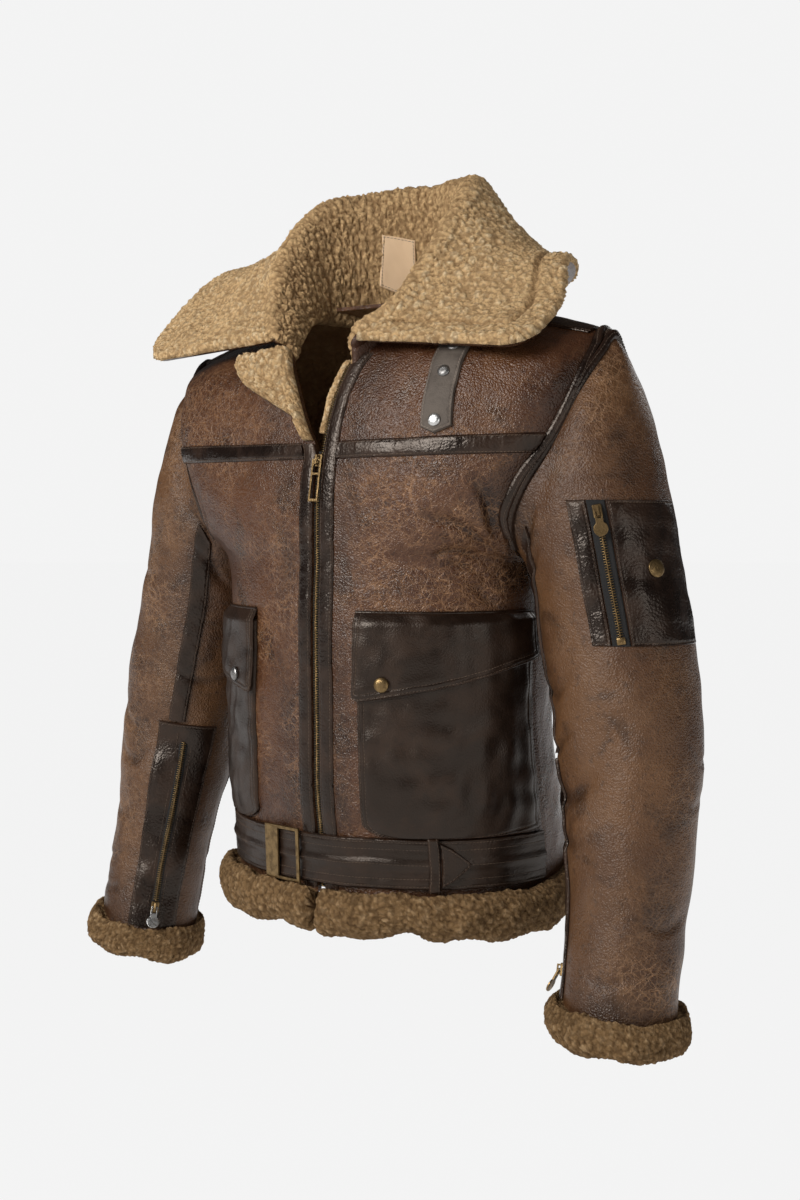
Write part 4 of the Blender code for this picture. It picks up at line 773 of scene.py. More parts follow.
def metalMaterial(name, bright, patina, roughness, worn=0.55):
    made, node, shader, links = newMaterial(name)
    place = node("ShaderNodeTexCoord").outputs["Object"]
    stain = effect(node, "blotch", place, Scale=160.0, From=0.40, To=0.66)["Mask"]
    fine = effect(node, "blotch", place, Scale=700.0, From=0.45, To=0.70)["Mask"]
    base = blend(node, times(node, stain, worn), bright, patina)
    base = blend(node, times(node, fine, 0.25), base, patina)
    links.new(base, shader.inputs["Base Color"])
    rough = scaled(node, stain, 0.20, roughness)
    links.new(rough, shader.inputs["Roughness"])
    bump = node("ShaderNodeBump", {"Height": fine, "Strength": 0.25, "Distance": 0.0003})
    links.new(bump.outputs["Normal"], shader.inputs["Normal"])
    shader.inputs["Metallic"].default_value = 0.95
    return made


def clothMaterial(name, base, darker, threads, roughness=0.85, bumped=0.5):  # woven along the piece's own map
    made, node, shader, links = newMaterial(name)
    across = node("ShaderNodeUVMap", uv_map="cut").outputs["UV"]
    warp = node(
        "ShaderNodeTexWave", {"Vector": across, "Scale": threads, "Distortion": 0.6, "Detail": 1.0},
        bands_direction="X"
    )
    weft = node(
        "ShaderNodeTexWave", {"Vector": across, "Scale": threads, "Distortion": 0.6, "Detail": 1.0},
        bands_direction="Y"
    )
    weave = node(
        "ShaderNodeMath", {0: warp.outputs["Fac"], 1: weft.outputs["Fac"]}, operation="MULTIPLY"
    ).outputs[0]
    tone = effect(node, "blotch", across, Scale=60.0, From=0.35, To=0.7)["Mask"]
    shade = blend(node, weave, darker, base)
    shade = blend(node, times(node, tone, 0.35), shade, darker)
    links.new(shade, shader.inputs["Base Color"])
    rough = scaled(node, weave, -0.08, roughness)
    links.new(rough, shader.inputs["Roughness"])
    bump = node("ShaderNodeBump", {"Height": weave, "Strength": bumped, "Distance": 0.0005})
    links.new(bump.outputs["Normal"], shader.inputs["Normal"])
    return made


finishes = {
    "hide": hideMaterial("distressed_hide", hideLook),
    "sleeveHide": hideMaterial("distressed_sleeve_hide", sleeveLook),
    "trim": trimMaterial("dark_glossy_trim", (0.0064, 0.0030, 0.0020), (0.021, 0.0100, 0.0058), 0.26, 0.40),
    "pocket": trimMaterial(
        "pocket_satin_hide", (0.0082, 0.0038, 0.0021), (0.019, 0.0088, 0.0046), 0.31, 0.30, 620.0, 60.0, 0.8
    ),
    "strap": trimMaterial(
        "grey_strap_hide", (0.048, 0.038, 0.031), (0.082, 0.067, 0.055), 0.55, 0.35, 700.0, 60.0, 0.5
    ),
    # each wool's first colour is its painted crevice shade
    "collarWool": fleeceMaterial(
        "collar_wool", (0.200, 0.108, 0.046), (0.74, 0.49, 0.245), (0.99, 0.79, 0.500)
    ),
    "bandWool": fleeceMaterial(
        "hem_wool", (0.055, 0.028, 0.012), (0.270, 0.160, 0.072), (0.540, 0.360, 0.190)
    ),
    "innerWool": fleeceMaterial(
        "inner_wool", (0.200, 0.100, 0.040), (0.620, 0.390, 0.180), (0.850, 0.600, 0.330)
    ),
    "brass": metalMaterial("antique_brass", (0.245, 0.160, 0.070), (0.050, 0.031, 0.016), 0.32),
    "gunmetal": metalMaterial("dark_snap_metal", (0.30, 0.29, 0.28), (0.10, 0.09, 0.08), 0.28),
    "silver": metalMaterial("bright_snap_metal", (0.66, 0.65, 0.63), (0.36, 0.35, 0.34), 0.22, 0.3),
    "tape": clothMaterial("zip_tape_cloth", (0.016, 0.014, 0.013), (0.005, 0.0045, 0.004), 420.0),
    "label": clothMaterial("label_cloth", (0.84, 0.62, 0.400), (0.62, 0.43, 0.26), 260.0),
    "thread": trimMaterial(
        "brown_thread", (0.050, 0.032, 0.022), (0.095, 0.062, 0.042), 0.55, 0.4, 2200.0, 900.0, 0.4
    ),
    "paleThread": trimMaterial(
        "pale_thread", (0.16, 0.125, 0.10), (0.26, 0.21, 0.17), 0.6, 0.4, 2200.0, 900.0, 0.4
    ),
}
print("finishes ready")

# how pieces are made
made = {}
threadRows = {"thread": [], "paleThread": []}


def meshPiece(name, points, faces, finish, face=None, values=None, cut=None, around=0.0, sharp=70):
    mesh = bpy.data.meshes.new(name)
    mesh.from_pydata(points.tolist(), [], faces)
    for key in finish:
        mesh.materials.append(finishes[key])
    if face is not None:
        mesh.polygons.foreach_set("material_index", np.asarray(face, dtype=np.int32))
    work = bmesh.new()
    work.from_mesh(mesh)
    bmesh.ops.recalc_face_normals(work, faces=work.faces)
    work.to_mesh(mesh)
    work.free()
    for key, value in (values or {}).items():
        spot = mesh.attributes.new(key, "FLOAT", "POINT")
        spot.data.foreach_set("value", np.asarray(value, dtype=np.float32).ravel())
    if cut is not None:
        corners = np.zeros(len(mesh.loops), dtype=np.int32)
        mesh.loops.foreach_get("vertex_index", corners)
        flat = cut[corners]
        if around:
            starts = np.zeros(len(mesh.polygons), dtype=np.int32)
            totals = np.zeros(len(mesh.polygons), dtype=np.int32)
            mesh.polygons.foreach_get("loop_start", starts)
            mesh.polygons.foreach_get("loop_total", totals)
            wide = (
                np.maximum.reduceat(flat[:, 0], starts) - np.minimum.reduceat(flat[:, 0], starts) > around / 2
            )
            flat[np.repeat(wide, totals) & (flat[:, 0] < around / 2), 0] += around
        layer = mesh.uv_layers.new(name="cut")
        layer.data.foreach_set("uv", flat.astype(np.float32).ravel())
    mesh.polygons.foreach_set("use_smooth", np.ones(len(mesh.polygons), dtype=bool))
    if sharp:
        mesh.set_sharp_from_angle(angle=radians(sharp))
    piece = bpy.data.objects.new(name, mesh)
    bpy.context.scene.collection.objects.link(piece)
    made[name] = piece
    return piece


def quads(ids):
    a, b, c, d = ids[:-1, :-1], ids[:-1, 1:], ids[1:, 1:], ids[1:, :-1]
    return np.stack([a, b, c, d], axis=-1).reshape(-1, 4).tolist()


# a wall between a dense outer grid and an inner one with half its lines
def wallPiece(name, outer, inner, finish, closed=False, values=None, sharp=70, thin=2):
    if closed:
        outer, inner = outer[:, :-1], inner[:, :-1]
    rows, columns = outer.shape[:2]
    coarse = inner[::thin, ::thin]
    outerIds = np.arange(rows * columns).reshape(rows, columns)
    innerIds = rows * columns + np.arange(coarse.shape[0] * coarse.shape[1]).reshape(coarse.shape[:2])
    if closed:
        outerIds = np.hstack([outerIds, outerIds[:, :1]])
        innerIds = np.hstack([innerIds, innerIds[:, :1]])
    faces = quads(outerIds)
    front = len(faces)
    faces += [f[::-1] for f in quads(innerIds)]
    back = len(faces)

    def rim(o, i, turned):
        for k in range(len(i) - 1):
            face = [*o[thin * k: thin * k + thin + 1], i[k + 1], i[k]]
            faces.append([int(v) for v in (face[::-1] if turned else face)])

    rim(outerIds[0], innerIds[0], True)
    rim(outerIds[-1], innerIds[-1], False)
    if not closed:
        rim(outerIds[:, 0], innerIds[:, 0], False)
        rim(outerIds[:, -1], innerIds[:, -1], True)
    face = np.zeros(len(faces), dtype=np.int32)
    if len(finish) > 1:
        face[front:back] = 1
    u, v = arcs(outer, 1), arcs(outer, 0)
    cut = np.stack([u, v], axis=-1)
    cut = np.concatenate([cut.reshape(-1, 2), cut[::thin, ::thin].reshape(-1, 2)])
    full = {}
    for key, value in (values or {}).items():
        value = value[:, :columns]
        full[key] = np.concatenate([value.ravel(), value[::thin, ::thin].ravel()])
    around = float(u[:, -1].mean() + np.linalg.norm(outer[0, 0] - outer[0, -1])) if closed else 0.0
    points = np.concatenate([outer.reshape(-1, 3), coarse.reshape(-1, 3)])
    return meshPiece(name, points, faces, finish, face, full, cut, around, sharp)


def spread(length, edge=0.008, fine=0.0009, coarse=0.0030):  # places along a length, closer at both ends
    edge = min(edge, length * 0.45)
    near = np.arange(0, edge, fine)
    middle = np.linspace(edge, length - edge, max(3, int((length - 2 * edge) / coarse) + 1))
    places = np.concatenate([near, middle, length - near[::-1]]) / length
    places = np.unique(np.round(places, 7))
    return places if len(places) % 2 else np.sort(np.append(places, (places[1] + places[2]) / 2))


def rowAlong(outer, way, gaps, side, distance, others):  # a stitch line at a distance in from one side
    rows, columns = gaps["L"].shape
    spots = []
    lines = range(rows) if side in "LR" else range(columns)
    for k in lines:
        field = gaps[side][k] if side in "LR" else gaps[side][:, k]
        flipped = side in "RT"
        reach = np.interp(distance, field[::-1] if flipped else field, np.arange(len(field)))
        reach = len(field) - 1 - reach if flipped else reach
        r, c = (k, reach) if side in "LR" else (reach, k)
        if all(pick(gaps[other], [r], [c])[0] >= distance * 0.97 for other in others if other not in (side,)):
            spots.append((r, c))
    if len(spots) < 3:
        return None
    r, c = np.array(spots, float).T
    return pick(outer, r, c), unit(pick(way, r, c))


# a piece with turned edges laid on what carries it, from a grid of places and the ways out of them
def patchPiece(name, base, way, look, finish, slot, stands, thread="thread"):
    across, down = arcs(base, 1), arcs(base, 0)
    gaps = {"L": across, "R": across[:, -1:] - across, "B": down, "T": down[-1:] - down}
    turned, sewn = look.get("turned", "LRBT"), look.get("sewn", "LRBT")
    border = np.minimum.reduce([gaps[k] for k in turned]) if turned else np.full(across.shape, 1.0)
    share = 1 - np.minimum(border / look.get("round", 0.0012), 1)
    height = look["thick"] * np.sqrt(np.maximum(0, 1 - share * share))
    height = height + look.get("puff", 0.0) * (1 - np.exp(-border / look.get("puffReach", 0.004)))
    stitched = np.minimum.reduce([gaps[k] for k in sewn]) if sewn else np.full(across.shape, 1.0)
    for distance in look.get("rows", ()):
        height = height - look.get("groove", 0.00045) * np.exp(-(((stitched - distance) / 0.0009) ** 2))
        beside = look.get("pucker", 0.00012) * np.exp(-(((stitched - distance) / 0.0028) ** 2))
        height = height + beside * ripple(base, 0.0060, 5)
    if "wrinkle" in look:  # little folds across the strip, uneven along it
        size, depth, along = look["wrinkle"]
        run = down if along == "down" else across
        other = across if along == "down" else down
        wave = sum(np.sin(run * (2 * pi / (size * k)) + 9 * k + other * 60 * k) for k in (0.63, 1.0, 1.7)) / 3
        where = 0.5 + 0.5 * ripple(base, size * 7, 11)
        height = height + depth * wave * np.clip(where, 0, 1.4) * np.clip(border / 0.004, 0, 1)
    height = height + look.get("uneven", 0.0002) * ripple(base, 0.024, 17) * np.clip(border / 0.006, 0, 1)
    height = np.maximum(height, 0.0003)
    outer = base + way * height[..., None]
    rub = np.exp(-((border / 0.0016) ** 2)) * (0.55 + 0.45 * ripple(base, 0.018, 23))
    for distance in look.get("rows", ()):
        for side in sewn:
            found = rowAlong(outer, way, gaps, side, distance, sewn)
            if found:
                threadRows[thread].append(found)
    piece = wallPiece(name, outer, base, (finish,), values={"rub": np.clip(rub, 0, 1)}, sharp=62)
    finishPiece(piece, stands)
    return piece, outer, gaps


def layOn(name, panel, rises, steps, lift, *rest):  # a patch laid on a panel, a little above it
    return patchPiece(name, panel.at(rises, steps, lift), panel.lean(rises, steps), *rest)


def finishPiece(piece, stands=(), carrier=rootBody):
    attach(piece, carrier)
    if stands:
        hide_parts(*([stands] if isinstance(stands, str) else stands))


# jittered cells in space: the nearest cell's distance, the gap to the next one, and a number for each
def cells(points, size, seed):
    flat = points.reshape(-1, 3) / size
    home = np.floor(flat).astype(np.int64)
    first = np.full(len(flat), 9.0)
    second = np.full(len(flat), 9.0)
    own = np.zeros(len(flat))
    for dx in (-1, 0, 1):
        for dy in (-1, 0, 1):
            for dz in (-1, 0, 1):
                cell = home + (dx, dy, dz)
                key = (cell[:, 0] * 73856093) ^ (cell[:, 1] * 19349663) ^ (cell[:, 2] * 83492791) ^ seed
                jitter = np.stack(
                    [((key * m) >> 7 & 0xFFFF) / 65535.0 for m in (2654435761, 40503077, 97531357)], axis=1
                )
                gap = np.linalg.norm(cell + jitter - flat, axis=1)
                closer = gap < first
                second = np.where(closer, first, np.minimum(second, gap))
                own = np.where(closer, jitter[:, 0] * 0.6 + jitter[:, 1] * 0.4, own)
                first = np.minimum(first, gap)
    shape = points.shape[:-1]
    return first.reshape(shape), second.reshape(shape), own.reshape(shape)


def curls(points, size, seed):  # wool in tight locks: round tops with narrow crevices between, from 0 to 1
    warp = np.stack([ripple(points, size * 2.4, seed + k, 6) for k in range(3)], axis=-1) * size * 0.16
    first, second, own = cells(points + warp, size, seed)
    edge = np.clip((second - first) / 0.42, 0, 1)
    locks = np.sqrt(edge) * (0.62 + 0.38 * own)
    small, next_, other = cells(points + warp * 0.5, size * 0.46, seed + 77)
    tight = np.sqrt(np.clip((next_ - small) / 0.5, 0, 1)) * (0.6 + 0.4 * other)
    return np.clip(0.72 * locks + 0.28 * tight, 0, 1)


# leather body and sleeves: hide outside, clipped wool inside
def seamDip(panel, columns=(), rows=(), reach=0.0032, depth=0.0014):  # a stitched seam sinks at its line
    across, down = arcs(panel.points, 1), arcs(panel.points, 0)
    sink = np.zeros(across.shape)
    for gap in [
        across if c == 0 else across[:, -1:] - across for c in columns
    ] + [down if r == 0 else down[-1:] - down for r in rows]:
        sink = np.maximum(sink, depth * np.exp(-((gap / reach) ** 2)))
    return sink


def hideValues(panel, netted, burnishAndShade=0.0):
    # painted shade: darker with the depth of each crease, plus the burnish and painted shade passed in
    shadeAndBurnish = np.clip(np.clip(panel.depth / 0.0045, 0, 1) ** 1.1 * 0.62 + burnishAndShade, 0, 0.88)
    ridge = np.clip(-panel.depth / 0.0011, 0, 1)
    rub = np.clip(ridge * 0.28 * (0.5 + 0.5 * ripple(panel.points, 0.03, 61)), 0, 1)
    return {"shadeAndBurnish": shadeAndBurnish, "rub": rub, "crackle": np.clip(netted, 0, 1)}


def bump2(rise, step, r0, s0, dr, ds):
    return np.exp(-(((rise - r0) / dr) ** 2) - ((step - s0) / ds) ** 2)


def tucked(away):  # the leather's edge runs a little way down into the fleece below it
    return np.stack([0 * away, 0 * away, 0.005 * np.clip(1 - away / 0.04, 0, 1)], axis=-1)[:, None]


def makeBody():
    wall = seam["bodyWall"]
    for side in sides:
        panel = panels["front", side]
        rowGrid, inset = np.meshgrid(panel.rises, panel.steps, indexing="ij")
        netted = (
            0.24 + 0.9 * bump2(rowGrid, inset, 1.05, 0.50, 0.30, 0.34)
            + 0.55 * bump2(rowGrid, inset, 1.42, 0.55, 0.12, 0.4)
        )
        if side == "right":
            netted = (
                0.34 + 0.5 * bump2(rowGrid, inset, 1.60, 0.60, 0.25, 0.4)
                + 0.5 * bump2(rowGrid, inset, 0.55, 0.22, 0.5, 0.2)
            )
        uneven = 0.75 + 0.35 * ripple(panel.points, 0.06, 71)
        # darker bands: burnish beside the placket and along the yoke line, painted shade down the side where the near
        # sleeve shades the torso, and darker towards the hem
        burnishAndShade = (
            0.50 * np.exp(-((inset - 0.10) / 0.05) ** 2) + 0.55 * np.exp(-np.abs(rowGrid - 1.5) / 0.05)
            + 0.75 * np.clip((inset - 0.62) / 0.30, 0, 1)
        )
        burnishAndShade = (burnishAndShade + 0.5 * np.exp(-rowGrid / 0.16)) * np.clip(uneven, 0.3, 1.3)
        sink = seamDip(panel, columns=(-1,), rows=(-1,), depth=0.0012)
        drop = tucked(panel.rises)
        outer = panel.points - panel.normals * sink[..., None] - drop
        inner = panel.points - panel.normals * wall - drop
        piece = wallPiece(
            f"front_hide_{side}", outer, inner, ("hide", "innerWool"), values=hideValues(panel, netted, burnishAndShade)
        )
        finishPiece(piece, f"front_{side}")
    halves = [panels["back", side] for side in ("right", "left")]
    points = np.concatenate([halves[0].points[:, ::-1], halves[1].points[:, 1:]], axis=1)
    ways = np.concatenate([halves[0].normals[:, ::-1], halves[1].normals[:, 1:]], axis=1)
    middle = len(halves[0].steps) - 1
    ways[:, middle] = unit(halves[0].normals[:, 0] + halves[1].normals[:, 0])
    whole = Panel(points, panels["back", "left"].rises, np.linspace(-1, 1, points.shape[1]), 1)
    whole.depth = np.concatenate([halves[0].depth[:, ::-1], halves[1].depth[:, 1:]], axis=1)
    rowGrid, inset = np.meshgrid(whole.rises, whole.steps, indexing="ij")
    netted = (
        0.22 + 0.6 * bump2(rowGrid, inset, 1.3, 0.0, 0.3, 0.5)
        + 0.4 * bump2(rowGrid, inset, 0.5, 0.3, 0.4, 0.5)
    )
    sink = seamDip(whole, columns=(0, -1), rows=(-1,), depth=0.0012)
    drop = tucked(whole.rises)
    piece = wallPiece(
        "back_hide", points - ways * sink[..., None] - drop, points - ways * wall - drop,
        ("hide", "innerWool"), values=hideValues(whole, netted)
    )
    finishPiece(piece, "back")


def makeSleeves():
    for side, arm in arms.items():
        spotRow, climb = np.meshgrid(arm.rises, arm.steps, indexing="ij")
        netted = (
            0.14 + 0.75 * bump2(spotRow, climb, 0.62, 108, 0.14, 45)
            + 0.7 * bump2(spotRow, climb, 0.92, 90, 0.10, 70)
        )
        netted += (
            0.55 * bump2(spotRow, climb, 0.06, 40, 0.10, 50)
            + 0.45 * bump2(spotRow, climb, 0.55, 220, 0.2, 50)
        )
        if side == "right":
            netted += (
                0.6 * bump2(spotRow, climb, 0.38, 30, 0.20, 40)
                + 0.4 * bump2(spotRow, climb, 0.72, 30, 0.2, 50)
            )
        across = arcs(arm.points, 1)
        uneven = np.clip(0.7 + 0.4 * ripple(arm.points, 0.07, 73), 0.2, 1.3)
        # darker below the armhole welt, above the cuff, along the front seam and in a patch low on the forearm:
        # burnish with painted shade where parts meet
        burnishAndShade = (
            0.55 * np.exp(-spotRow / 0.035) + 0.30 * np.exp(-(1 - spotRow) / 0.06)
            + 0.60 * np.exp(-((climb + 36 - twist(side, spotRow)) / 17) ** 2)
        )
        burnishAndShade = (burnishAndShade + 0.35 * bump2(spotRow, climb, 0.92, 60, 0.12, 70)) * uneven
        sink = seamDip(arm, rows=(0,), depth=0.0016)
        hung = twist(side, arm.rises)
        # the front seam under its strip, the bare back seam
        for turns in (-36.0 + hung, np.full(len(hung), 234.0)):
            line = np.array([np.interp(t, arm.steps, across[r]) for r, t in enumerate(turns)])[:, None]
            sink = np.maximum(sink, 0.0013 * np.exp(-(((across - line) / 0.0020) ** 2)))
        drop = tucked(1 - arm.rises)
        outer = arm.points - arm.normals * sink[..., None] - drop
        inner = arm.points - arm.normals * seam["sleeveWall"] - drop
        piece = wallPiece(
            f"sleeve_hide_{side}", outer, inner, ("sleeveHide", "innerWool"), True,
            hideValues(arm, netted, burnishAndShade)
        )
        finishPiece(piece, (f"sleeve_top_{side}", f"sleeve_under_{side}"))
        for away in (-0.0045, 0.0045):  # the back seam is sewn down on both sides
            alongs = np.linspace(0.03, 0.975, 220)
            scale = across[:, -1] / 360
            turns = 234.0 + away / np.interp(alongs, arm.rises, scale)
            threadRows["thread"].append((arm.at(alongs, turns, 0.0001), arm.lean(alongs, turns)))


makeBody()
makeSleeves()
print("hide laid")

# leather trims
trimLooks = {
    "placket": {"width": 0.016, "thick": 0.0019, "round": 0.0014, "puff": 0.0009, "rows": (0.0024,), "sewn": "LR",
                "turned": "LR", "wrinkle": (0.014, 0.00035, "down")},
    "yoke": {"thick": 0.0020, "round": 0.0014, "puff": 0.0010, "rows": (0.0022,), "sewn": "BT", "turned": "BT",
             "wrinkle": (0.0085, 0.00045, "across")},
    "shoulder": {"thick": 0.0018, "round": 0.0014, "puff": 0.0006, "rows": (0.0022,), "sewn": "BT", "turned": "BT",
                 "wrinkle": (0.009, 0.0003, "across")},
    "seam": {"thick": 0.0018, "round": 0.0013, "puff": 0.0005, "rows": (0.0022,), "sewn": "LR", "turned": "LR",
             "wrinkle": (0.016, 0.0003, "down")},
    "pocket": {"thick": 0.0034, "round": 0.0016, "puff": 0.0022, "puffReach": 0.020, "rows": (0.0026, 0.0072),
               "sewn": "LRB", "uneven": 0.0007, "groove": 0.0006},
    "flap": {"thick": 0.0026, "round": 0.0014, "puff": 0.0012, "puffReach": 0.010, "rows": (0.0024, 0.0070),
             "sewn": "LRB", "uneven": 0.0004, "groove": 0.0006},
    "belt": {"thick": 0.0030, "round": 0.0014, "puff": 0.0002, "rows": (0.0030, 0.0100), "sewn": "BT",
             "turned": "BT", "uneven": 0.0003},
    "strap": {
        "thick": 0.0028, "round": 0.0010, "puff": 0.0002, "rows": (0.0024,), "sewn": "LRB", "uneven": 0.0002
    },
    "sleevePocket": {"thick": 0.0020, "round": 0.0012, "puff": 0.0010, "puffReach": 0.012, "rows": (0.0024,),
                     "uneven": 0.0006},
    "guard": {"thick": 0.0019, "round": 0.0012, "puff": 0.0004, "rows": (0.0024,), "turned": "LRT", "sewn": "LRT",
              "uneven": 0.0004},
    "tape": {"thick": 0.0011, "round": 0.0004, "uneven": 0.00005},
    "label": {"thick": 0.0010, "round": 0.0005, "uneven": 0.0002, "rows": (0.0022,), "groove": 0.00015},
}


def stripPlaces(tall, wide, edgeRows=True, edgeColumns=True, coarse=0.0030):
    down = spread(tall, coarse=coarse) if edgeRows else np.linspace(0, 1, 2 * int(tall / coarse / 2) + 1)
    across = spread(wide, coarse=coarse) if edgeColumns else np.linspace(0, 1, 2 * int(wide / coarse / 2) + 1)
    return np.meshgrid(down, across, indexing="ij")


def makePlackets():
    look = trimLooks["placket"]
    for side, top in (("left", 1.8), ("right", 1.525)):
        panel = panels["front", side]
        climb, inset = stripPlaces(0.46, look["width"], edgeRows=False)
        rises = climb * top
        lines = np.linspace(0, top, 60)
        reach = np.interp(rises[:, 0], lines, panel.stepsAt(lines, look["width"]))
        steps = inset * reach[:, None]
        layOn(
            f"placket_trim_{side}", panel, rises, steps, 0.0002, look, "trim", "trim_leather",
            f"placket_{side}"
        )


def makeYokes():
    look = trimLooks["yoke"]
    for side in sides:
        panel = panels["front", side]
        first = panel.stepsAt([1.5], trimLooks["placket"]["width"] + 0.0004)[0]
        last = panel.stepsAt([1.5], 0.0125, back=True)[0]
        climb, inset = stripPlaces(0.013, 0.20, edgeColumns=False, coarse=0.0016)
        rises, steps = 1.469 + climb * 0.062, first + (last - first) * inset
        layOn(
            f"yoke_trim_{side}", panel, rises, steps, 0.0002, look, "trim", "trim_leather",
            f"yoke_strip_{side}"
        )


def soften(spots, passes=1):  # evens out a line or grid along its length and keeps its ends
    for _ in range(passes):
        spots[1:-1] = spots[:-2] * 0.25 + spots[1:-1] * 0.5 + spots[2:] * 0.25


def makeShoulders():
    look = trimLooks["shoulder"]
    for side in sides:
        front, back = panels["front", side], panels["back", side]
        last = front.stepsAt([2.0], 0.0125, back=True)[0]
        climb, inset = stripPlaces(0.020, 0.15, edgeColumns=False, coarse=0.0016)
        steps = 0.10 + (last - 0.10) * inset
        share = np.abs(climb * 2 - 1)
        rises = 2.0 - 0.045 * share
        ahead = (climb < 0.5)[..., None]
        base = np.where(ahead, front.at(rises, steps), back.at(rises, steps))
        way = np.where(ahead, front.lean(rises, steps), back.lean(rises, steps))
        even = unit(front.lean(rises, steps) + back.lean(rises, steps))
        way = unit(way * share[..., None] + even * (1 - share[..., None]))
        soften(base, 4)
        patchPiece(
            f"shoulder_trim_{side}", base + way * 0.0008, way, look, "trim", "trim_leather",
            f"shoulder_strip_{side}"
        )


weltLook = {
    "start": -54, "widths": 0.0110, "ridge": 0.0055, "ridgeWide": 0.0030, "low": 0.0034, "high": 0.0030
}


def makeWelts():  # two raised ridges with a sewn channel between, round each armhole
    look = weltLook
    for side, arm in arms.items():
        turns = np.linspace(look["start"], 180 - look["start"], 221)
        offsets = np.linspace(-look["widths"], look["widths"], 27)
        base, way = np.zeros((221, 27, 3)), np.zeros((221, 27, 3))
        for i, turn in enumerate(turns):
            panel = panels["front" if turn <= 90 else "back", side]
            rise = 1 + (turn + 90) / 180 if turn <= 90 else 1 + (270 - turn) / 180
            lines = np.linspace(1, 0.6, 120)
            run = arcs(panel.at(rise, lines), 0)
            onBody = offsets < 0
            steps = np.interp(-offsets[onBody], run, lines)
            base[i, onBody], way[i, onBody] = panel.at(rise, steps), panel.lean(rise, steps)
            alongs = np.linspace(0, 0.2, 100)
            run = arcs(arm.at(alongs, turn), 0)
            along = np.interp(offsets[~onBody], run, alongs)
            base[i, ~onBody], way[i, ~onBody] = arm.at(along, turn), arm.lean(along, turn)
        for spots in (base, way):
            for _ in range(10):
                soften(spots.swapaxes(0, 1))
                soften(spots)
        way = unit(way)
        gap = np.abs(offsets)[None, :]
        rounded = np.sqrt(np.clip(1 - (np.clip(gap - 0.0092, 0, 0.0018) / 0.0018) ** 2, 0, 1))
        ridges = look["high"] * np.exp(-(((gap - look["ridge"]) / look["ridgeWide"]) ** 2))
        height = (look["low"] * rounded + ridges * rounded) * np.ones((221, 1))
        down = arcs(base, 0)
        height = (
            height
            + 0.00030 * np.sin(down * 620 + gap * 500) * np.clip(0.4 + 0.6 * ripple(base, 0.05, 31), 0, 1.3)
            * rounded
        )
        height = np.maximum(height, 0.0004)
        outer = base + way * height[..., None]
        rub = np.exp(-(((gap - look["ridge"]) / 0.0012) ** 2)) * (0.3 + 0.3 * ripple(base, 0.02, 33))
        piece = wallPiece(f"armhole_welt_{side}", outer, base, ("trim",), values={"rub": np.clip(rub, 0, 1)})
        finishPiece(piece, f"armhole_strip_{side}")
        for column in (4, 12, 14, 22):
            threadRows["thread"].append((outer[:, column] + way[:, column] * 0.0001, way[:, column]))


def makeSeamStrips():
    for side, arm in arms.items():
        stop = arm.riseAt(-0.437, -36 + cuffTurn[side])
        climb, inset = stripPlaces(0.26, 0.022, edgeRows=False)
        alongs = 0.09 + (stop - 0.09) * climb
        turns = -44 + 16 * inset + twist(side, alongs)
        layOn(
            f"seam_trim_{side}", arm, alongs, turns, 0.0004, trimLooks["seam"], "trim", "trim_leather",
            f"seam_strip_{side}"
        )


makePlackets()
makeYokes()
makeShoulders()
makeWelts()
makeSeamStrips()
print("trims laid")

# waist pockets
pocketForm = {"front": 0.068, "top": -0.318, "bottom": -0.5178, "corner": 0.013}
flapForm = {"top": -0.307, "frontDrop": -0.391, "sideDrop": -0.350, "lift": 0.0058, "corner": 0.008}


def makePockets():
    for side, hand in sides.items():
        panel = panels["front", side]
        first = panel.near(riseOf(-0.42), hand * pocketForm["front"], 0)
        climb, inset = stripPlaces(0.20, 0.17)
        height = climb * 0.20
        corner = pocketForm["corner"]
        tuck = (
            np.where(height < corner, corner - np.sqrt(np.maximum(corner**2 - (corner - height) ** 2, 0)), 0)
            * 2.6
        )
        start = first + tuck * (0.965 - first) / 0.17
        steps = start + (0.965 - start) * inset
        rises = (
            riseOf(pocketForm["bottom"]) + (riseOf(pocketForm["top"]) - riseOf(pocketForm["bottom"])) * climb
        )
        layOn(
            f"pocket_bag_{side}", panel, rises, steps, 0.0003, trimLooks["pocket"], "pocket",
            "pocket_leather", f"pocket_{side}"
        )

        low = first - 0.012
        climb, inset = stripPlaces(0.08, 0.18)
        steps = low + (0.975 - low) * inset
        drop = flapForm["frontDrop"] + (flapForm["sideDrop"] - flapForm["frontDrop"]) * inset
        corner = flapForm["corner"]
        inward = inset * 0.18
        lift = np.where(
            inward < corner, corner - np.sqrt(np.maximum(corner**2 - (corner - inward) ** 2, 0)), 0
        )
        drop = drop - 0.0035 * np.sin(pi * inset) + lift
        rises = riseOf(drop + (flapForm["top"] - drop) * climb)
        stand = flapForm["lift"] * np.clip((1 - climb) / 0.14, 0, 1) + 0.0012 * (1 - climb) ** 2 + 0.0004
        look = trimLooks["flap"]
        base, way = panel.at(rises, steps, stand), panel.lean(rises, steps)
        outer = patchPiece(
            f"pocket_flap_{side}", base, way, look, "pocket", "pocket_leather", f"flap_{side}"
        )[1]
        top = pick(outer, np.full(inset.shape[1], inset.shape[0] - 1.0), np.arange(inset.shape[1]))
        lean = way[-1]
        piping(
            f"flap_piping_{side}", top[1:-1] + lean[1:-1] * 0.0006, lean[1:-1], 0.0017, "pocket",
        )


def piping(name, path, way, radius, finish, ring=8):
    along = unit(np.gradient(path, axis=0))
    side = unit(np.cross(along, way))
    out = np.cross(side, along)
    angles = np.linspace(0, 2 * pi, ring, endpoint=False)
    rings = (
        path[:, None]
        + radius
        * (side[:, None] * np.cos(angles)[None, :, None] + out[:, None] * np.sin(angles)[None, :, None])
    )
    return tubePiece(name, rings, (finish,))


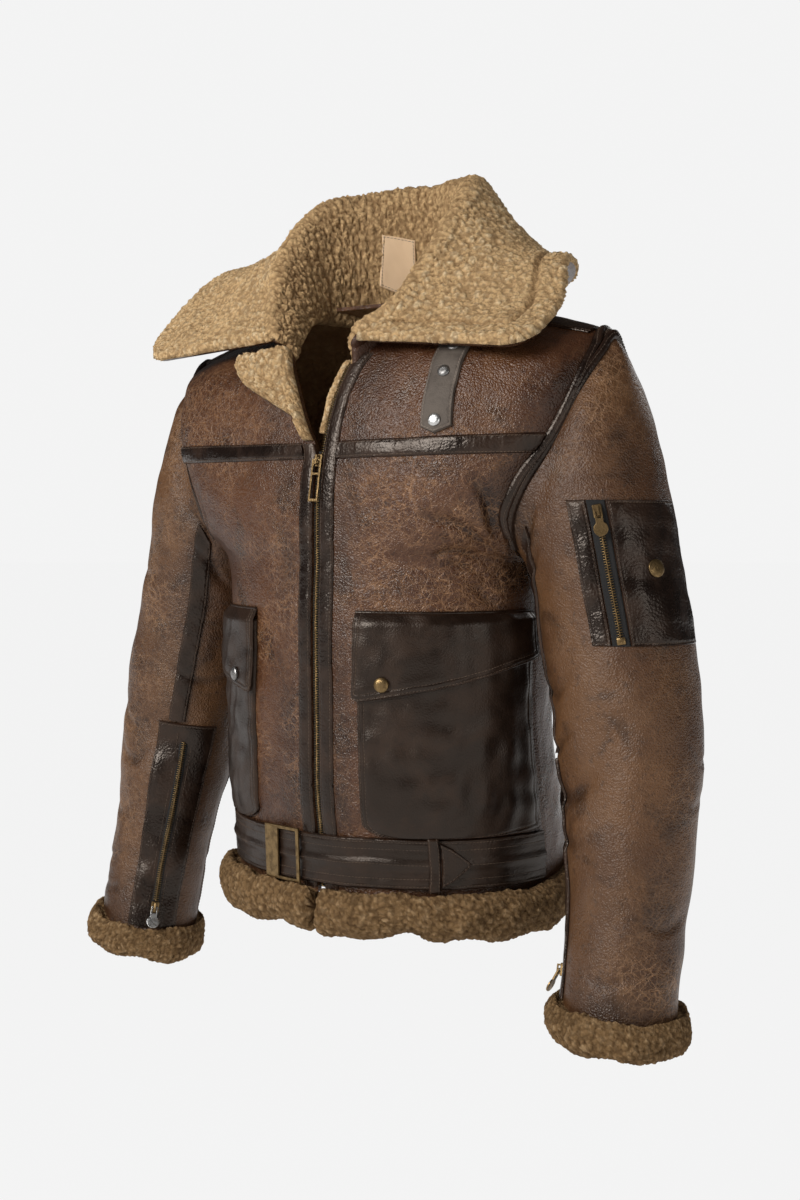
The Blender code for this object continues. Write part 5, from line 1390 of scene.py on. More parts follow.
def tubePiece(name, rings, finish, closed=False, values=None, stands=()):
    count, around = rings.shape[:2]
    ids = np.arange(count * around).reshape(count, around)
    wrap = np.hstack([ids, ids[:, :1]])
    if closed:
        wrap = np.vstack([wrap, wrap[:1]])
    faces = quads(wrap)
    if not closed:
        faces += [ids[0][::-1].tolist(), ids[-1].tolist()]
    v = np.broadcast_to(np.linspace(0, 2 * pi * 0.002, around)[None], (count, around))
    u = arcs(rings, 0)
    piece = meshPiece(
        name, rings.reshape(-1, 3), faces, finish, None, values, np.stack([v, u], axis=-1).reshape(-1, 2)
    )
    finishPiece(piece, stands)
    return piece


makePockets()
print("pockets laid")

# belt across the front, with its keeper and tip
beltForm = {"top": -0.519, "bottom": -0.567, "ridge": 0.0016, "ridgeWide": 0.0042, "keeperX": 0.127}
beltBase = {
    "left": ((0.0, 0.09, 0.14, 1.0), (0.0028, 0.0028, 0.0007, 0.0007)),
    "right": ((0.0, 0.34, 0.44, 1.0), (0.0028, 0.0028, 0.0007, 0.0007))
}


def makeBelt():
    steps = np.linspace(0, 1, 11)
    spots = [("left", min(s, 0.985)) for s in steps[::-1]] + [("right", min(s, 0.985)) for s in steps]
    heights = np.linspace(0, 1, 7)
    base, way = np.zeros((7, 22, 3)), np.zeros((7, 22, 3))
    for j, (side, step) in enumerate(spots):
        rises = riseOf(beltForm["bottom"] + (beltForm["top"] - beltForm["bottom"]) * heights)
        lift = np.interp(step, *beltBase[side])
        base[:, j], way[:, j] = panels["front", side].at(
            rises, step, lift
        ), panels["front", side].lean(rises, step)
    run = arcs(base, 1)[3]
    climb, inset = stripPlaces(0.048, run[-1], edgeColumns=False, coarse=0.0022)
    across = inset[0] * run[-1]
    base = refine(base.swapaxes(0, 1), run, across).swapaxes(0, 1)
    way = unit(refine(way.swapaxes(0, 1), run, across).swapaxes(0, 1))
    base = refine(base, heights, climb[:, 0])
    way = unit(refine(way, heights, climb[:, 0]))
    off = (climb - 0.5) * 0.048
    ridge = beltForm["ridge"] * np.exp(-((off / beltForm["ridgeWide"]) ** 4))
    outer = base + way * ridge[..., None]
    patchPiece(
        "belt_hide", base + way * (ridge * 0.98)[..., None], way, trimLooks["belt"], "pocket",
        "pocket_leather", "belt"
    )
    middle = pick(
        outer + way * 0.0033, np.full(inset.shape[1], (climb.shape[0] - 1) / 2), np.arange(inset.shape[1])
    )
    threadRows["thread"].append((middle, way[climb.shape[0] // 2]))


def overBelt(side, x, height, more=0.0):
    panel = panels["front", side]
    rise = riseOf(height)
    step = panel.near(rise, x, 0)
    return panel.at(rise, step, np.interp(step, *beltBase[side]) + 0.0046 + more), panel.lean(rise, step)


def beltPatch(name, xs, heights, look, stands):
    base = np.array([[overBelt("left", x, z)[0] for x, z in zip(xr, zr)] for xr, zr in zip(xs, heights)])
    way = np.array([[overBelt("left", x, z)[1] for x, z in zip(xr, zr)] for xr, zr in zip(xs, heights)])
    patchPiece(name, base, way, look, "pocket", "pocket_leather", stands)


def makeBeltEnd():
    climb, inset = stripPlaces(0.0525, 0.008, coarse=0.002)
    xs = beltForm["keeperX"] - 0.004 + 0.008 * inset
    beltPatch(
        "belt_keeper", xs, -0.5698 + 0.0524 * climb,
        {"thick": 0.0018, "round": 0.0010, "uneven": 0.0001, "rows": (0.0016,), "sewn": "LR"}, "keeper"
    )
    climb, inset = stripPlaces(0.045, 0.019, coarse=0.002)
    xs = beltForm["keeperX"] + 0.0044 + 0.0191 * inset
    spreadOut = np.interp(inset, (0, 0.4, 1.0), (0.0225, 0.0165, 0.0012))
    beltPatch(
        "belt_end", xs, -0.543 + (2 * climb - 1) * spreadOut,
        {"thick": 0.0022, "round": 0.0010, "uneven": 0.0001, "rows": (0.0024,)}, "belt_tip"
    )


makeBelt()
makeBeltEnd()
print("belt laid")

# throat strap, sleeve pocket, cuff openings and zip tapes
strapForm = {"x": 0.142, "half": 0.015, "low": 1.56, "top": 1.83, "lift": 0.0009, "point": 0.022}


def makeStrap():
    panel = panels["front", "left"]
    climb, inset = stripPlaces(0.085, 0.030, coarse=0.0022)
    share = 2 * inset - 1
    rises = (
        strapForm["low"] + (strapForm["top"] - strapForm["low"]) * climb
        - strapForm["point"] * (1 - np.abs(share)) * (1 - climb) ** 6
    )
    steps = np.zeros_like(rises)
    search = np.linspace(0, 1, 500)
    for r in range(climb.shape[0]):
        xs = panel.at(rises[r, inset.shape[1] // 2], search)[:, 0]
        steps[r] = np.interp(strapForm["x"] + share[r] * strapForm["half"], xs, search)
    layOn(
        "throat_tab", panel, rises, steps, strapForm["lift"], trimLooks["strap"], "strap", "strap_leather",
        "throat_strap", "paleThread"
    )


sleevePocketForm = {"top": -0.203, "bottom": -0.333, "turns": (9.5, 24.5, 37.5, 106.0)}
cuffForm = {"top": -0.441, "turns": (-18.0, -42.5, -51.5, -76.0)}


def alongAt(arm, heights, turns):  # how far along the sleeve each turn reaches a height
    found = np.zeros(heights.shape)
    for c in range(turns.shape[1]):
        line = arm.at(arm.rises, turns[0, c])[:, 2]
        found[:, c] = np.interp(-heights[:, c], -line, arm.rises)
    return found


def makeSleevePocket():
    arm = arms["left"]
    first, tape, patch, last = sleevePocketForm["turns"]
    pieces = (
        ("sleeve_pocket_edge", first, tape - 0.4, 0.020, 0.0003, "trim", "sleeve_pocket_strip"),
        ("sleeve_pocket_patch", patch + 0.4, last, 0.11, 0.0003, "trim", "sleeve_pocket"),
        ("sleeve_pocket_cloth", tape, patch, 0.014, 0.0003, "tape", "sleeve_pocket_tape"),
    )
    for name, start, stop, wide, lift, finish, stands in pieces:
        climb, inset = stripPlaces(0.13, wide, coarse=0.0030)
        turns = start + (stop - start) * inset
        heights = sleevePocketForm["bottom"] + (sleevePocketForm["top"] - sleevePocketForm["bottom"]) * climb
        alongs = alongAt(arm, heights, turns)
        look = trimLooks["tape"] if finish == "tape" else trimLooks["sleevePocket"]
        layOn(
            name, arm, alongs, turns, lift, look, finish, "zip_tape" if finish == "tape" else "trim_leather",
            stands
        )


def makeCuffOpenings():
    for side, arm in arms.items():
        first, tape, patch, last = [turn + cuffTurn[side] for turn in cuffForm["turns"]]
        top = arm.riseAt(cuffForm["top"], tape)
        climb, inset = stripPlaces(0.22, 0.062)
        alongs, turns = 0.993 + (top - 0.993) * climb, last + (first - last) * inset
        layOn(
            f"cuff_flat_{side}", arm, alongs, turns, 0.0006, trimLooks["guard"], "trim", "trim_leather",
            f"cuff_guard_{side}"
        )
        for turn in (tape + 3.0, patch - 3.0):
            lines = np.linspace(0.990, top + 0.02, 160)
            threadRows["thread"].append((arm.at(lines, turn, 0.0028), arm.lean(lines, turn)))
        climb, inset = stripPlaces(0.18, 0.010, coarse=0.0022)
        alongs, turns = 0.985 + (top + 0.035 - 0.985) * climb, patch + (tape - patch) * inset
        layOn(
            f"cuff_cloth_{side}", arm, alongs, turns, 0.0024, trimLooks["tape"], "tape", "zip_tape",
            f"cuff_tape_{side}"
        )


def zipEdge(side, rises):  # the free edge of a front's tape, where its teeth are
    panel = panels["front", side]
    edge, out = panel.at(rises, 0.0), panel.lean(rises, 0.0)
    return edge - np.array([sides[side] * form["zipHalf"], 0, 0]), edge, out


def makeTapes():
    for side, top in (("left", 1.8), ("right", 1.5)):
        rises = np.linspace(0.0, top, 241)
        middle, edge, out = zipEdge(side, rises)
        share = np.linspace(0, 1, 7)[None, :, None]
        base = middle[:, None] * (1 - share) + edge[:, None] * share - out[:, None] * 0.0034
        way = np.broadcast_to(out[:, None], base.shape).copy()
        look = {"thick": 0.0016, "round": 0.0005, "uneven": 0.00005, "turned": "LR", "sewn": ""}
        patchPiece(f"front_tape_{side}", base, way, look, "tape", "zip_tape", f"zip_tape_{side}")


makeStrap()
makeSleevePocket()
makeCuffOpenings()
makeTapes()
print("fastenings laid")

# wool: collar, lapel, facing, hem and cuffs
woolLooks = {
    "collar": {"curl": 0.0078, "deep": 0.0058, "corner": 0.026},
    "lapel": {"curl": 0.0090, "deep": 0.0068},
    "hem": {"curl": 0.0068, "deep": 0.0042, "pitch": 0.0021},
    "cuff": {"curl": 0.0060, "deep": 0.0036, "pitch": 0.0019},
}


def collarMiddle(stations, shares):
    coarse = np.linspace(0, 10, 31)
    middle = []
    for station in coarse:
        b = lookUp(collarLine, "station", station, "baseX", "baseY", "baseZ")
        r = lookUp(collarLine, "station", station, "ridgeX", "ridgeY", "ridgeZ")
        e = lookUp(collarLine, "station", station, "edgeX", "edgeY", "edgeZ")
        out = unit((e - b) * [1, 1, 0])
        drop = np.array([0, 0, 1.0])
        tight = min(0.009, (r[2] - b[2]) * 0.42)
        inside = r - out * tight - drop * tight
        outside = r + out * tight - drop * tight * 0.9
        sag = lookUp(collarLine, "station", station, "sag")[0]
        leaf = [outside + (e - outside) * t - drop * sag * sin(pi * t) for t in (0.3, 0.6, 0.85, 1.0)]
        middle.append([b, b + (inside - b) * 0.5, inside, r, outside, *leaf])
    middle = np.array(middle)
    dense = refine(middle, coarse, stations)
    return refine(dense.swapaxes(0, 1), np.arange(9), shares).swapaxes(0, 1)


def evenPlaces(start, stop, points, count):  # places that lie evenly along a line of points
    run = arcs(points, 0)
    return np.interp(np.linspace(0, run[-1], count), run, np.linspace(start, stop, len(points)))


def makeCollar():
    look = woolLooks["collar"]
    probe = collarMiddle(np.linspace(0, 10, 400), np.array([0.0, 3.0, 8.0]))
    stations = evenPlaces(0, 10, probe[:, 1] * 0.5 + probe[:, 2] * 0.5, 401)
    stations = np.interp(spread(1.0, 0.014, 0.0015, 0.0022), np.linspace(0, 1, 401), stations)
    profile = collarMiddle(np.array([2.5]), np.linspace(0, 8, 300))[0]
    shares = evenPlaces(0, 8, profile, 301)
    shares = np.interp(spread(1.0, 0.05, 0.0055, 0.0080), np.linspace(0, 1, 301), shares)
    middle = collarMiddle(stations, shares)
    middle[..., 2] -= 0.014 * np.clip(1 - shares / 0.9, 0, 1)  # the band reaches down inside the neckline
    ways = gridNormals(middle)
    across, down = arcs(middle, 1), arcs(middle, 0)
    half = seam["fleeceWall"] / 2
    leafEdge = across[:, -1:] - across
    wingEdge = np.minimum(down, down[-1:] - down)
    leafWay = unit(np.gradient(middle, axis=1))
    wingWay = unit(np.gradient(middle, axis=0)) * np.where(down < down[-1:] / 2, -1, 1)[..., None]
    u, v = np.clip(1 - leafEdge / look["corner"], 0, 1), np.clip(1 - wingEdge / look["corner"], 0, 1)
    tuck = (
        look["corner"]
        * (1 - np.where(np.minimum(u, v) > 0, np.maximum(u, v) / np.maximum(np.hypot(u, v), 1e-6), 1))
    )
    middle = middle - leafWay * (tuck * u)[..., None] - wingWay * (tuck * v)[..., None]
    rounding = np.sqrt(1 - (1 - np.clip(np.minimum(leafEdge, wingEdge) / 0.0055, 0, 1)) ** 2)
    rounding = np.maximum(rounding, 0.10) * np.clip(0.45 + across / 0.004, 0, 1)
    wool = middle + ways * (half * 1.20 * rounding)[..., None]
    skin = middle - ways * (half * 0.92 * rounding)[..., None]
    out = ways * rounding[..., None]
    out = unit(
        out + leafWay * (np.exp(-leafEdge / 0.0035))[..., None]
        + wingWay * (np.exp(-wingEdge / 0.0035))[..., None]
    )
    height = curls(wool, look["curl"], 91)
    fineWool = curls(wool, look["curl"] * 0.62, 92)
    clipped = np.clip(
        bump2(
            *np.meshgrid(stations, shares, indexing="ij"), 8.6, 6.6, 1.3, 1.3
        ) + 0.8 * bump2(*np.meshgrid(stations, shares, indexing="ij"), 2.0, 6.4, 1.4, 1.0),
        0, 0.85
    )
    height = height * (1 - clipped) + fineWool * clipped
    sewn = np.zeros(height.shape)  # the line sewn through the near wing, inside its free edge
    for gap, within in ((leafEdge, wingEdge), (wingEdge, leafEdge)):
        sewn = np.maximum(sewn, np.exp(-(((gap - 0.027) / 0.0030) ** 2)) * (within > 0.025))
    rows = np.meshgrid(stations, shares, indexing="ij")
    sewn = sewn * (rows[0] < 5) * (across > 0.06)
    labelSpot = np.clip(1.8 - np.hypot((rows[0] - 5.60) / 0.30, (rows[1] - 1.06) / 0.44), 0, 1)
    lift = look["deep"] * height * (1 - 0.75 * sewn) * (1 - 0.8 * labelSpot) - 0.0030 * sewn - 0.0012
    fullness = 0.0022 * ripple(wool, 0.050, 95) * np.clip(leafEdge / 0.02, 0, 1)
    outer = wool + out * (lift + fullness * 0.5)[..., None]
    # painted shade: the curl value that sets the wool's colour is lowered along the sewn groove and on the band inside
    # the neckline
    dark = height * (1 - 0.55 * sewn)
    outsideNeckShade = np.clip((shares - 2.6) / 1.0, 0, 1)[None]
    dark = dark * (0.60 + 0.40 * outsideNeckShade)
    # the hide on the collar's underside gets an even quarter of the darkening
    piece = wallPiece(
        "collar_wool", outer, skin, ("collarWool", "hide"),
        values={"curl": dark, "rub": 0 * dark, "shadeAndBurnish": 0 * dark + 0.25, "crackle": 0 * dark + 0.3}, sharp=0
    )
    finishPiece(piece, "collar")
    return Panel(middle + ways * half, stations, shares, 1)


def makeLabel(face):
    climb, inset = stripPlaces(0.050, 0.035, coarse=0.002)
    rows = 0.68 + 0.76 * climb
    stations = 5.60 + 0.26 * (1 - 2 * inset)
    layOn(
        "neck_label", face, stations, rows, 0.0016, trimLooks["label"], "label", "label_cloth", "label",
        "paleThread"
    )


def woolGrid(
    name, base, ways, skin, look, seed, stands, finish=("collarWool", "hide"), edges="LRBT",
    outwards=0.8
):
    across, down = arcs(base, 1), arcs(base, 0)
    gaps = {"L": across, "R": across[:, -1:] - across, "B": down, "T": down[-1:] - down}
    border = np.minimum.reduce([gaps[k] for k in edges])
    height = curls(base, look["curl"], seed)
    side = unit(np.gradient(base, axis=1))
    over = unit(np.gradient(base, axis=0))
    lean = ways.copy()
    for key, way in (("L", -side), ("R", side), ("B", -over), ("T", over)):
        if key in edges:
            lean = lean + way * (outwards * np.exp(-gaps[key] / 0.003))[..., None]
    outer = (
        base + unit(lean) * (look["deep"] * (height - 0.30) * np.clip(0.35 + border / 0.003, 0, 1))[..., None]
    )
    piece = wallPiece(
        name, outer, skin, finish,
        values={"curl": height, "rub": 0 * height, "shadeAndBurnish": 0 * height, "crackle": 0 * height}, sharp=0
    )
    finishPiece(piece, stands)
    return piece


lapelReach = ((-0.145, -0.125, -0.105, -0.085, -0.065), (0.004, -0.014, -0.057, -0.098, -0.120))


def makeLapel():
    panel = panels["front", "right"]
    climb, inset = np.meshgrid(
        spread(0.100, 0.010, 0.0011, 0.0018), spread(0.105, 0.010, 0.0011, 0.0018), indexing="ij"
    )
    rises = 1.54 + 0.28 * climb
    last = []
    search = np.linspace(0, 1, 500)
    for rise in rises[:, 0]:
        row = panel.at(rise, search)
        height = row[0, 2]
        reach = refine(np.array(lapelReach[1]), np.array(lapelReach[0]), height)[0]
        last.append(max(np.interp(-reach, -row[:, 0], search), 0.03))
    steps = np.array(last)[:, None] * inset
    base = panel.at(rises, steps, 0.0006)
    way = panel.lean(rises, steps)
    across, down = arcs(base, 1), arcs(base, 0)
    border = np.minimum.reduce([across, across[:, -1:] - across, down])
    rounding = np.sqrt(1 - (1 - np.clip(border / 0.007, 0, 1)) ** 2)
    top = base + way * (0.0110 * np.maximum(rounding, 0.05))[..., None]
    woolGrid("lapel_wool", top, way, base, woolLooks["lapel"], 120, "lapel", edges="LRB")


def woolTube(name, rings, look, seed, stands, finish, closed):
    centre = rings.mean(axis=1, keepdims=True)
    wrap = np.concatenate([rings, rings[:, :1]], axis=1)
    along = np.gradient(wrap, axis=0)
    if closed:
        along[0] = along[-1] = (wrap[1] - wrap[-1]) / 2
    around = np.gradient(wrap, axis=1)
    around[:, 0] = around[:, -1] = (wrap[:, 1] - wrap[:, -2]) / 2
    ways = unit(np.cross(around, along))[:, :-1]
    if np.sum((rings - centre) * ways) < 0:
        ways = -ways
    height = curls(rings, look["curl"], seed)
    swell = 0.0018 * ripple(rings, 0.045, seed + 5)
    lift = look["deep"] * (height - 0.42) + swell
    return tubePiece(name, rings + ways * lift[..., None], finish, closed, {"curl": height}, stands)


def section(points, count):
    points = np.array(points)
    wrap = np.concatenate([points[-3:], points, points[:4]])
    places = np.arange(-3, len(points) + 4)
    fine = refine(wrap, places, np.linspace(0, len(points), 400, endpoint=False))
    run = arcs(np.vstack([fine, fine[:1]]), 0)
    spots = np.interp(np.linspace(0, run[-1], count, endpoint=False), run, np.linspace(0, 400, 401))
    return np.stack(
        [np.interp(spots, np.arange(401), np.append(fine[:, k], fine[0, k])) for k in range(2)], axis=1
    )


hemSection = (
    (-0.006, -0.0016), (0.004, -0.0016), (0.0115, 0.0020), (0.0190, -0.007), (0.0210, -0.023),
    (0.0150, -0.038), (0.0030, -0.044), (-0.008, -0.036), (-0.0105, -0.016),
)
hemNotches = (
    (0.085, 0.016, 0.22), (0.955, 0.016, 0.20), (0.30, 0.02, 0.15), (0.52, 0.02, 0.15), (0.74, 0.02, 0.16)
)
cuffSection = (
    (-0.006, -0.0010), (0.003, -0.0010), (0.0080, 0.0020), (0.0118, -0.007), (0.0120, -0.021),
    (0.0070, -0.030), (-0.0020, -0.032), (-0.0080, -0.024), (-0.0090, -0.010),
)


def makeHem():
    look = woolLooks["hem"]
    steps = np.linspace(0, 1, 41)
    spots = []
    for side, face, line in (
        ("left", "front", steps), ("left", "back", steps[-2::-1]), ("right", "back", steps[1:]),
        ("right", "front", steps[-2::-1])
    ):
        panel = panels[face, side]
        out = unit(panel.lean(np.zeros(len(line)), line) * [1, 1, 0])
        spots.append(np.concatenate([panel.at(np.zeros(len(line)), line), out], axis=1))
    spots = np.concatenate(spots)
    for end, inner in ((0, 1), (-1, -2)):  # the two ends of the fleece close up under the zip
        spots[end, :3] += unit(spots[end, :3] - spots[inner, :3]) * 0.0042
    run = arcs(spots[:, :3], 0)
    count = int(run[-1] / look["pitch"])
    line = refine(spots, run, np.linspace(0, run[-1], count))
    soften(line, 30)
    share = np.linspace(0, 1, count)
    size = 1 - sum(d * np.exp(-(((share - p) / w) ** 2)) for p, w, d in hemNotches)
    flat = section(hemSection, int(0.118 / look["pitch"]))
    out = unit(line[:, 3:])
    down = np.where(flat[:, 1] < -0.01, 1.0, 0.0)
    z = flat[None, :, 1] * (1 + (size[:, None] - 1) * down[None])
    rings = line[:, None, :3] + out[:, None] * (flat[None, :, 0] * size[:, None])[..., None]
    rings[..., 2] += z
    centre = rings.mean(axis=1, keepdims=True)
    ends = np.minimum(np.arange(count), np.arange(count)[::-1]) * look["pitch"]
    close = np.sqrt(1 - (1 - np.clip(ends / 0.009, 0, 1)) ** 2)[:, None, None]
    rings = centre + (rings - centre) * np.maximum(close, 0.04)
    woolTube("hem_wool", rings, look, 140, "hem_fleece", ("bandWool",), False)


def makeCuffs():
    look = woolLooks["cuff"]
    for side, arm in arms.items():
        turns = np.linspace(-90, 270, 220, endpoint=False)
        ones = np.ones(len(turns))
        place, out = arm.at(ones, turns), arm.lean(ones, turns)
        down = unit(place - arm.at(ones * 0.93, turns))
        line = np.concatenate([place, out, down], axis=1)
        for _ in range(12):
            line = np.roll(line, 1, axis=0) * 0.25 + line * 0.5 + np.roll(line, -1, axis=0) * 0.25
        place, out, down = line[:, :3], unit(line[:, 3:6]), unit(line[:, 6:])
        flat = section(cuffSection, int(0.086 / look["pitch"]))
        rings = place[:, None] + out[:, None] * flat[None, :, :1] - down[:, None] * flat[None, :, 1:]
        woolTube(
            f"cuff_wool_{side}", rings, look, 150 if side == "left" else 160,
            f"cuff_fleece_{side}", ("bandWool",), True
        )


def makeFacing():
    panel = panels["front", "left"]
    rises = np.linspace(1.56, 1.79, 71)
    place, out = panel.at(rises, 0.0), panel.lean(rises, 0.0)
    centre = place - np.array([form["zipHalf"] + 0.0053, 0, 0]) - out * 0.004
    angles = np.linspace(0, 2 * pi, 20, endpoint=False)
    ends = np.sqrt(1 - (1 - np.clip(np.minimum(np.arange(71), np.arange(71)[::-1]) / 5, 0, 1)) ** 2)
    radius = 0.0046 * np.maximum(ends, 0.05)
    side = np.array([1.0, 0, 0])
    rings = (
        centre[:, None]
        + radius[:, None, None]
        * (side * np.cos(angles)[None, :, None] + out[:, None] * np.sin(angles)[None, :, None])
    )
    woolTube(
        "facing_wool", rings, {"curl": 0.0055, "deep": 0.0022}, 170, "facing_left",
        ("collarWool",), False
    )


collarFace = makeCollar()
makeLabel(collarFace)
makeLapel()
makeFacing()
makeHem()
makeCuffs()
print("wool laid")

# what repeats: stitches and zip teeth set along paths
def pathTree():
    tree = bpy.data.node_groups.new("Set along paths", "GeometryNodeTree")
    face = tree.interface
    face.new_socket("Geometry", in_out="INPUT", socket_type="NodeSocketGeometry")
    for title, kind, value in (
        ("Unit", "NodeSocketObject", None), ("Pitch", scalar, 0.0033), ("Slant", scalar, 0.0),
        ("Uneven", scalar, 0.0), ("Seed", "NodeSocketInt", 1), ("Finish", "NodeSocketMaterial", None),
    ):
        socket = face.new_socket(title, in_out="INPUT", socket_type=kind)
        if value is not None:
            socket.default_value = value
    face.new_socket("Geometry", in_out="OUTPUT", socket_type="NodeSocketGeometry")
    node = builder(tree)
    given = node("NodeGroupInput").outputs
    line = node("GeometryNodeMeshToCurve", {"Mesh": given["Geometry"]})
    points = node(
        "GeometryNodeCurveToPoints", {"Curve": line.outputs["Curve"], "Length": given["Pitch"]}, mode="LENGTH"
    )
    out = node("GeometryNodeInputNamedAttribute", {"Name": "out"}, data_type="FLOAT_VECTOR")
    first = node("FunctionNodeAlignRotationToVector", {"Vector": points.outputs["Tangent"]}, axis="X")
    second = node(
        "FunctionNodeAlignRotationToVector",
        {"Rotation": first.outputs["Rotation"], "Vector": out.outputs["Attribute"]}, axis="Z", pivot_axis="X"
    )
    low = node("ShaderNodeMath", {0: given["Uneven"], 1: -1.0}, operation="MULTIPLY")
    jitter = node(
        "FunctionNodeRandomValue", {2: low.outputs[0], 3: given["Uneven"], "Seed": given["Seed"]},
        data_type="FLOAT"
    )
    angle = node("ShaderNodeMath", {0: given["Slant"], 1: jitter.outputs[1]}, operation="ADD")
    euler = node("ShaderNodeCombineXYZ", {"Z": angle.outputs[0]})
    turned = node(
        "FunctionNodeRotateRotation",
        {
            "Rotation": second.outputs["Rotation"],
            "Rotate By": node("FunctionNodeEulerToRotation", {"Euler": euler.outputs[0]}).outputs[0]
        },
        rotation_space="LOCAL"
    )
    size = node("ShaderNodeMath", {0: jitter.outputs[1], 1: 1.0}, operation="ADD")
    item = node("GeometryNodeObjectInfo", {"Object": given["Unit"]})
    placed = node("GeometryNodeInstanceOnPoints", {
        "Points": points.outputs["Points"], "Instance": item.outputs["Geometry"],
        "Rotation": turned.outputs["Rotation"], "Scale": size.outputs[0],
    })
    real = node("GeometryNodeRealizeInstances", {"Geometry": placed.outputs["Instances"]})
    done = node(
        "GeometryNodeSetMaterial", {"Geometry": real.outputs["Geometry"], "Material": given["Finish"]}
    )
    node("NodeGroupOutput", {"Geometry": done.outputs["Geometry"]})
    return tree


alongPaths = pathTree()


def unitMesh(name, rings):  # a small closed form from rings of points
    work = bmesh.new()
    lines = [[work.verts.new(tuple(p)) for p in ring] for ring in rings]
    for first, second in zip(lines, lines[1:]):
        for k in range(len(first)):
            work.faces.new((first[k], first[(k + 1) % len(first)], second[(k + 1) % len(first)], second[k]))
    work.faces.new(lines[0][::-1])
    work.faces.new(lines[-1])
    bmesh.ops.recalc_face_normals(work, faces=work.faces)
    mesh = bpy.data.meshes.new(name)
    work.to_mesh(mesh)
    work.free()
    mesh.polygons.foreach_set("use_smooth", np.ones(len(mesh.polygons), dtype=bool))
    item = bpy.data.objects.new(name, mesh)
    bpy.context.scene.collection.objects.link(item)
    return item


def stitchUnit(length, thick, ring=5):
    rings = []
    for x, r, z in ((-0.5, 0.35, -0.35), (-0.32, 0.95, 0.0), (0.32, 0.95, 0.0), (0.5, 0.35, -0.35)):
        rings.append(
            [
                (
                    x * length, thick * r * cos(2 * pi * k / ring),
                    thick * (z + 0.8 * r * sin(2 * pi * k / ring))
                )
                for k in range(ring)
            ]
        )
    return unitMesh("stitchUnit", rings)


def toothUnit(reach, wide, tall):  # one cast tooth: a foot on the tape and a rounded head over the middle
    outline = ((-0.42, 0.55), (0.10, 0.62), (0.34, 1.0), (0.52, 0.86), (0.58, 0.40))
    rings = []
    for x, w in outline:
        half, h = wide / 2 * w, tall * (0.75 + 0.25 * w)
        rings.append(
            [
                (-half, x * reach, 0), (half, x * reach, 0), (half, x * reach, h * 0.7),
                (half * 0.6, x * reach, h), (-half * 0.6, x * reach, h), (-half, x * reach, h * 0.7)
            ]
        )
    return unitMesh("toothUnit", rings)


def setAlong(name, rows, item, finish, pitch, slant=0.0, uneven=0.0, seed=1):
    points, outs, edges = [], [], []
    for line, way in rows:
        first = sum(len(p) for p in points)
        points.append(line)
        outs.append(way)
        edges += [(first + k, first + k + 1) for k in range(len(line) - 1)]
    points, outs = np.concatenate(points), np.concatenate(outs)
    mesh = bpy.data.meshes.new(name + "_paths")
    mesh.from_pydata(points.tolist(), edges, [])
    spot = mesh.attributes.new("out", "FLOAT_VECTOR", "POINT")
    spot.data.foreach_set("vector", outs.astype(np.float32).ravel())
    paths = bpy.data.objects.new(name + "_paths", mesh)
    bpy.context.scene.collection.objects.link(paths)
    modifier = paths.modifiers.new("Along paths", "NODES")
    modifier.node_group = alongPaths
    keys = {
        socket.name: socket.identifier for socket in alongPaths.interface.items_tree
        if socket.in_out == "INPUT"
    }
    for key, value in (
        ("Unit", item), ("Pitch", pitch), ("Slant", slant), ("Uneven", uneven), ("Seed", seed),
        ("Finish", finishes[finish])
    ):
        modifier[keys[key]] = value
    seen = paths.evaluated_get(bpy.context.evaluated_depsgraph_get())
    plain = bpy.data.meshes.new_from_object(seen)
    plain.name = name
    bpy.data.objects.remove(paths, do_unlink=True)
    for attribute in [a.name for a in plain.attributes if a.name == "out"]:
        plain.attributes.remove(plain.attributes[attribute])
    piece = bpy.data.objects.new(name, plain)
    bpy.context.scene.collection.objects.link(piece)
    finishPiece(piece)
    made[name] = piece
    return piece


stitchLook = {"pitch": 0.0034, "length": 0.0029, "thick": 0.00036, "slant": 0.10, "uneven": 0.06}
stitch = stitchUnit(stitchLook["length"], stitchLook["thick"])
for key, rows in threadRows.items():
    lifted = [(line + way * 0.0001, way) for line, way in rows]
    setAlong(
        f"{key}_stitches", lifted, stitch, key, stitchLook["pitch"], stitchLook["slant"],
        stitchLook["uneven"], 7
    )
print("stitched")

toothLook = {"pitch": 0.0023, "reach": 0.0036, "wide": 0.0013, "tall": 0.0016, "apart": 0.0014}


def toothRows(line, way):  # one row on each tape, meshed in the middle
    rows = []
    along = unit(np.gradient(line, axis=0))
    across = unit(np.cross(way, along))
    for hand in (1, -1):
        path = line + across * (-hand * toothLook["apart"])
        if hand < 0:
            path = path + along * toothLook["pitch"] / 2
            rows.append((path[::-1], way[::-1]))
        else:
            rows.append((path, way))
    return rows


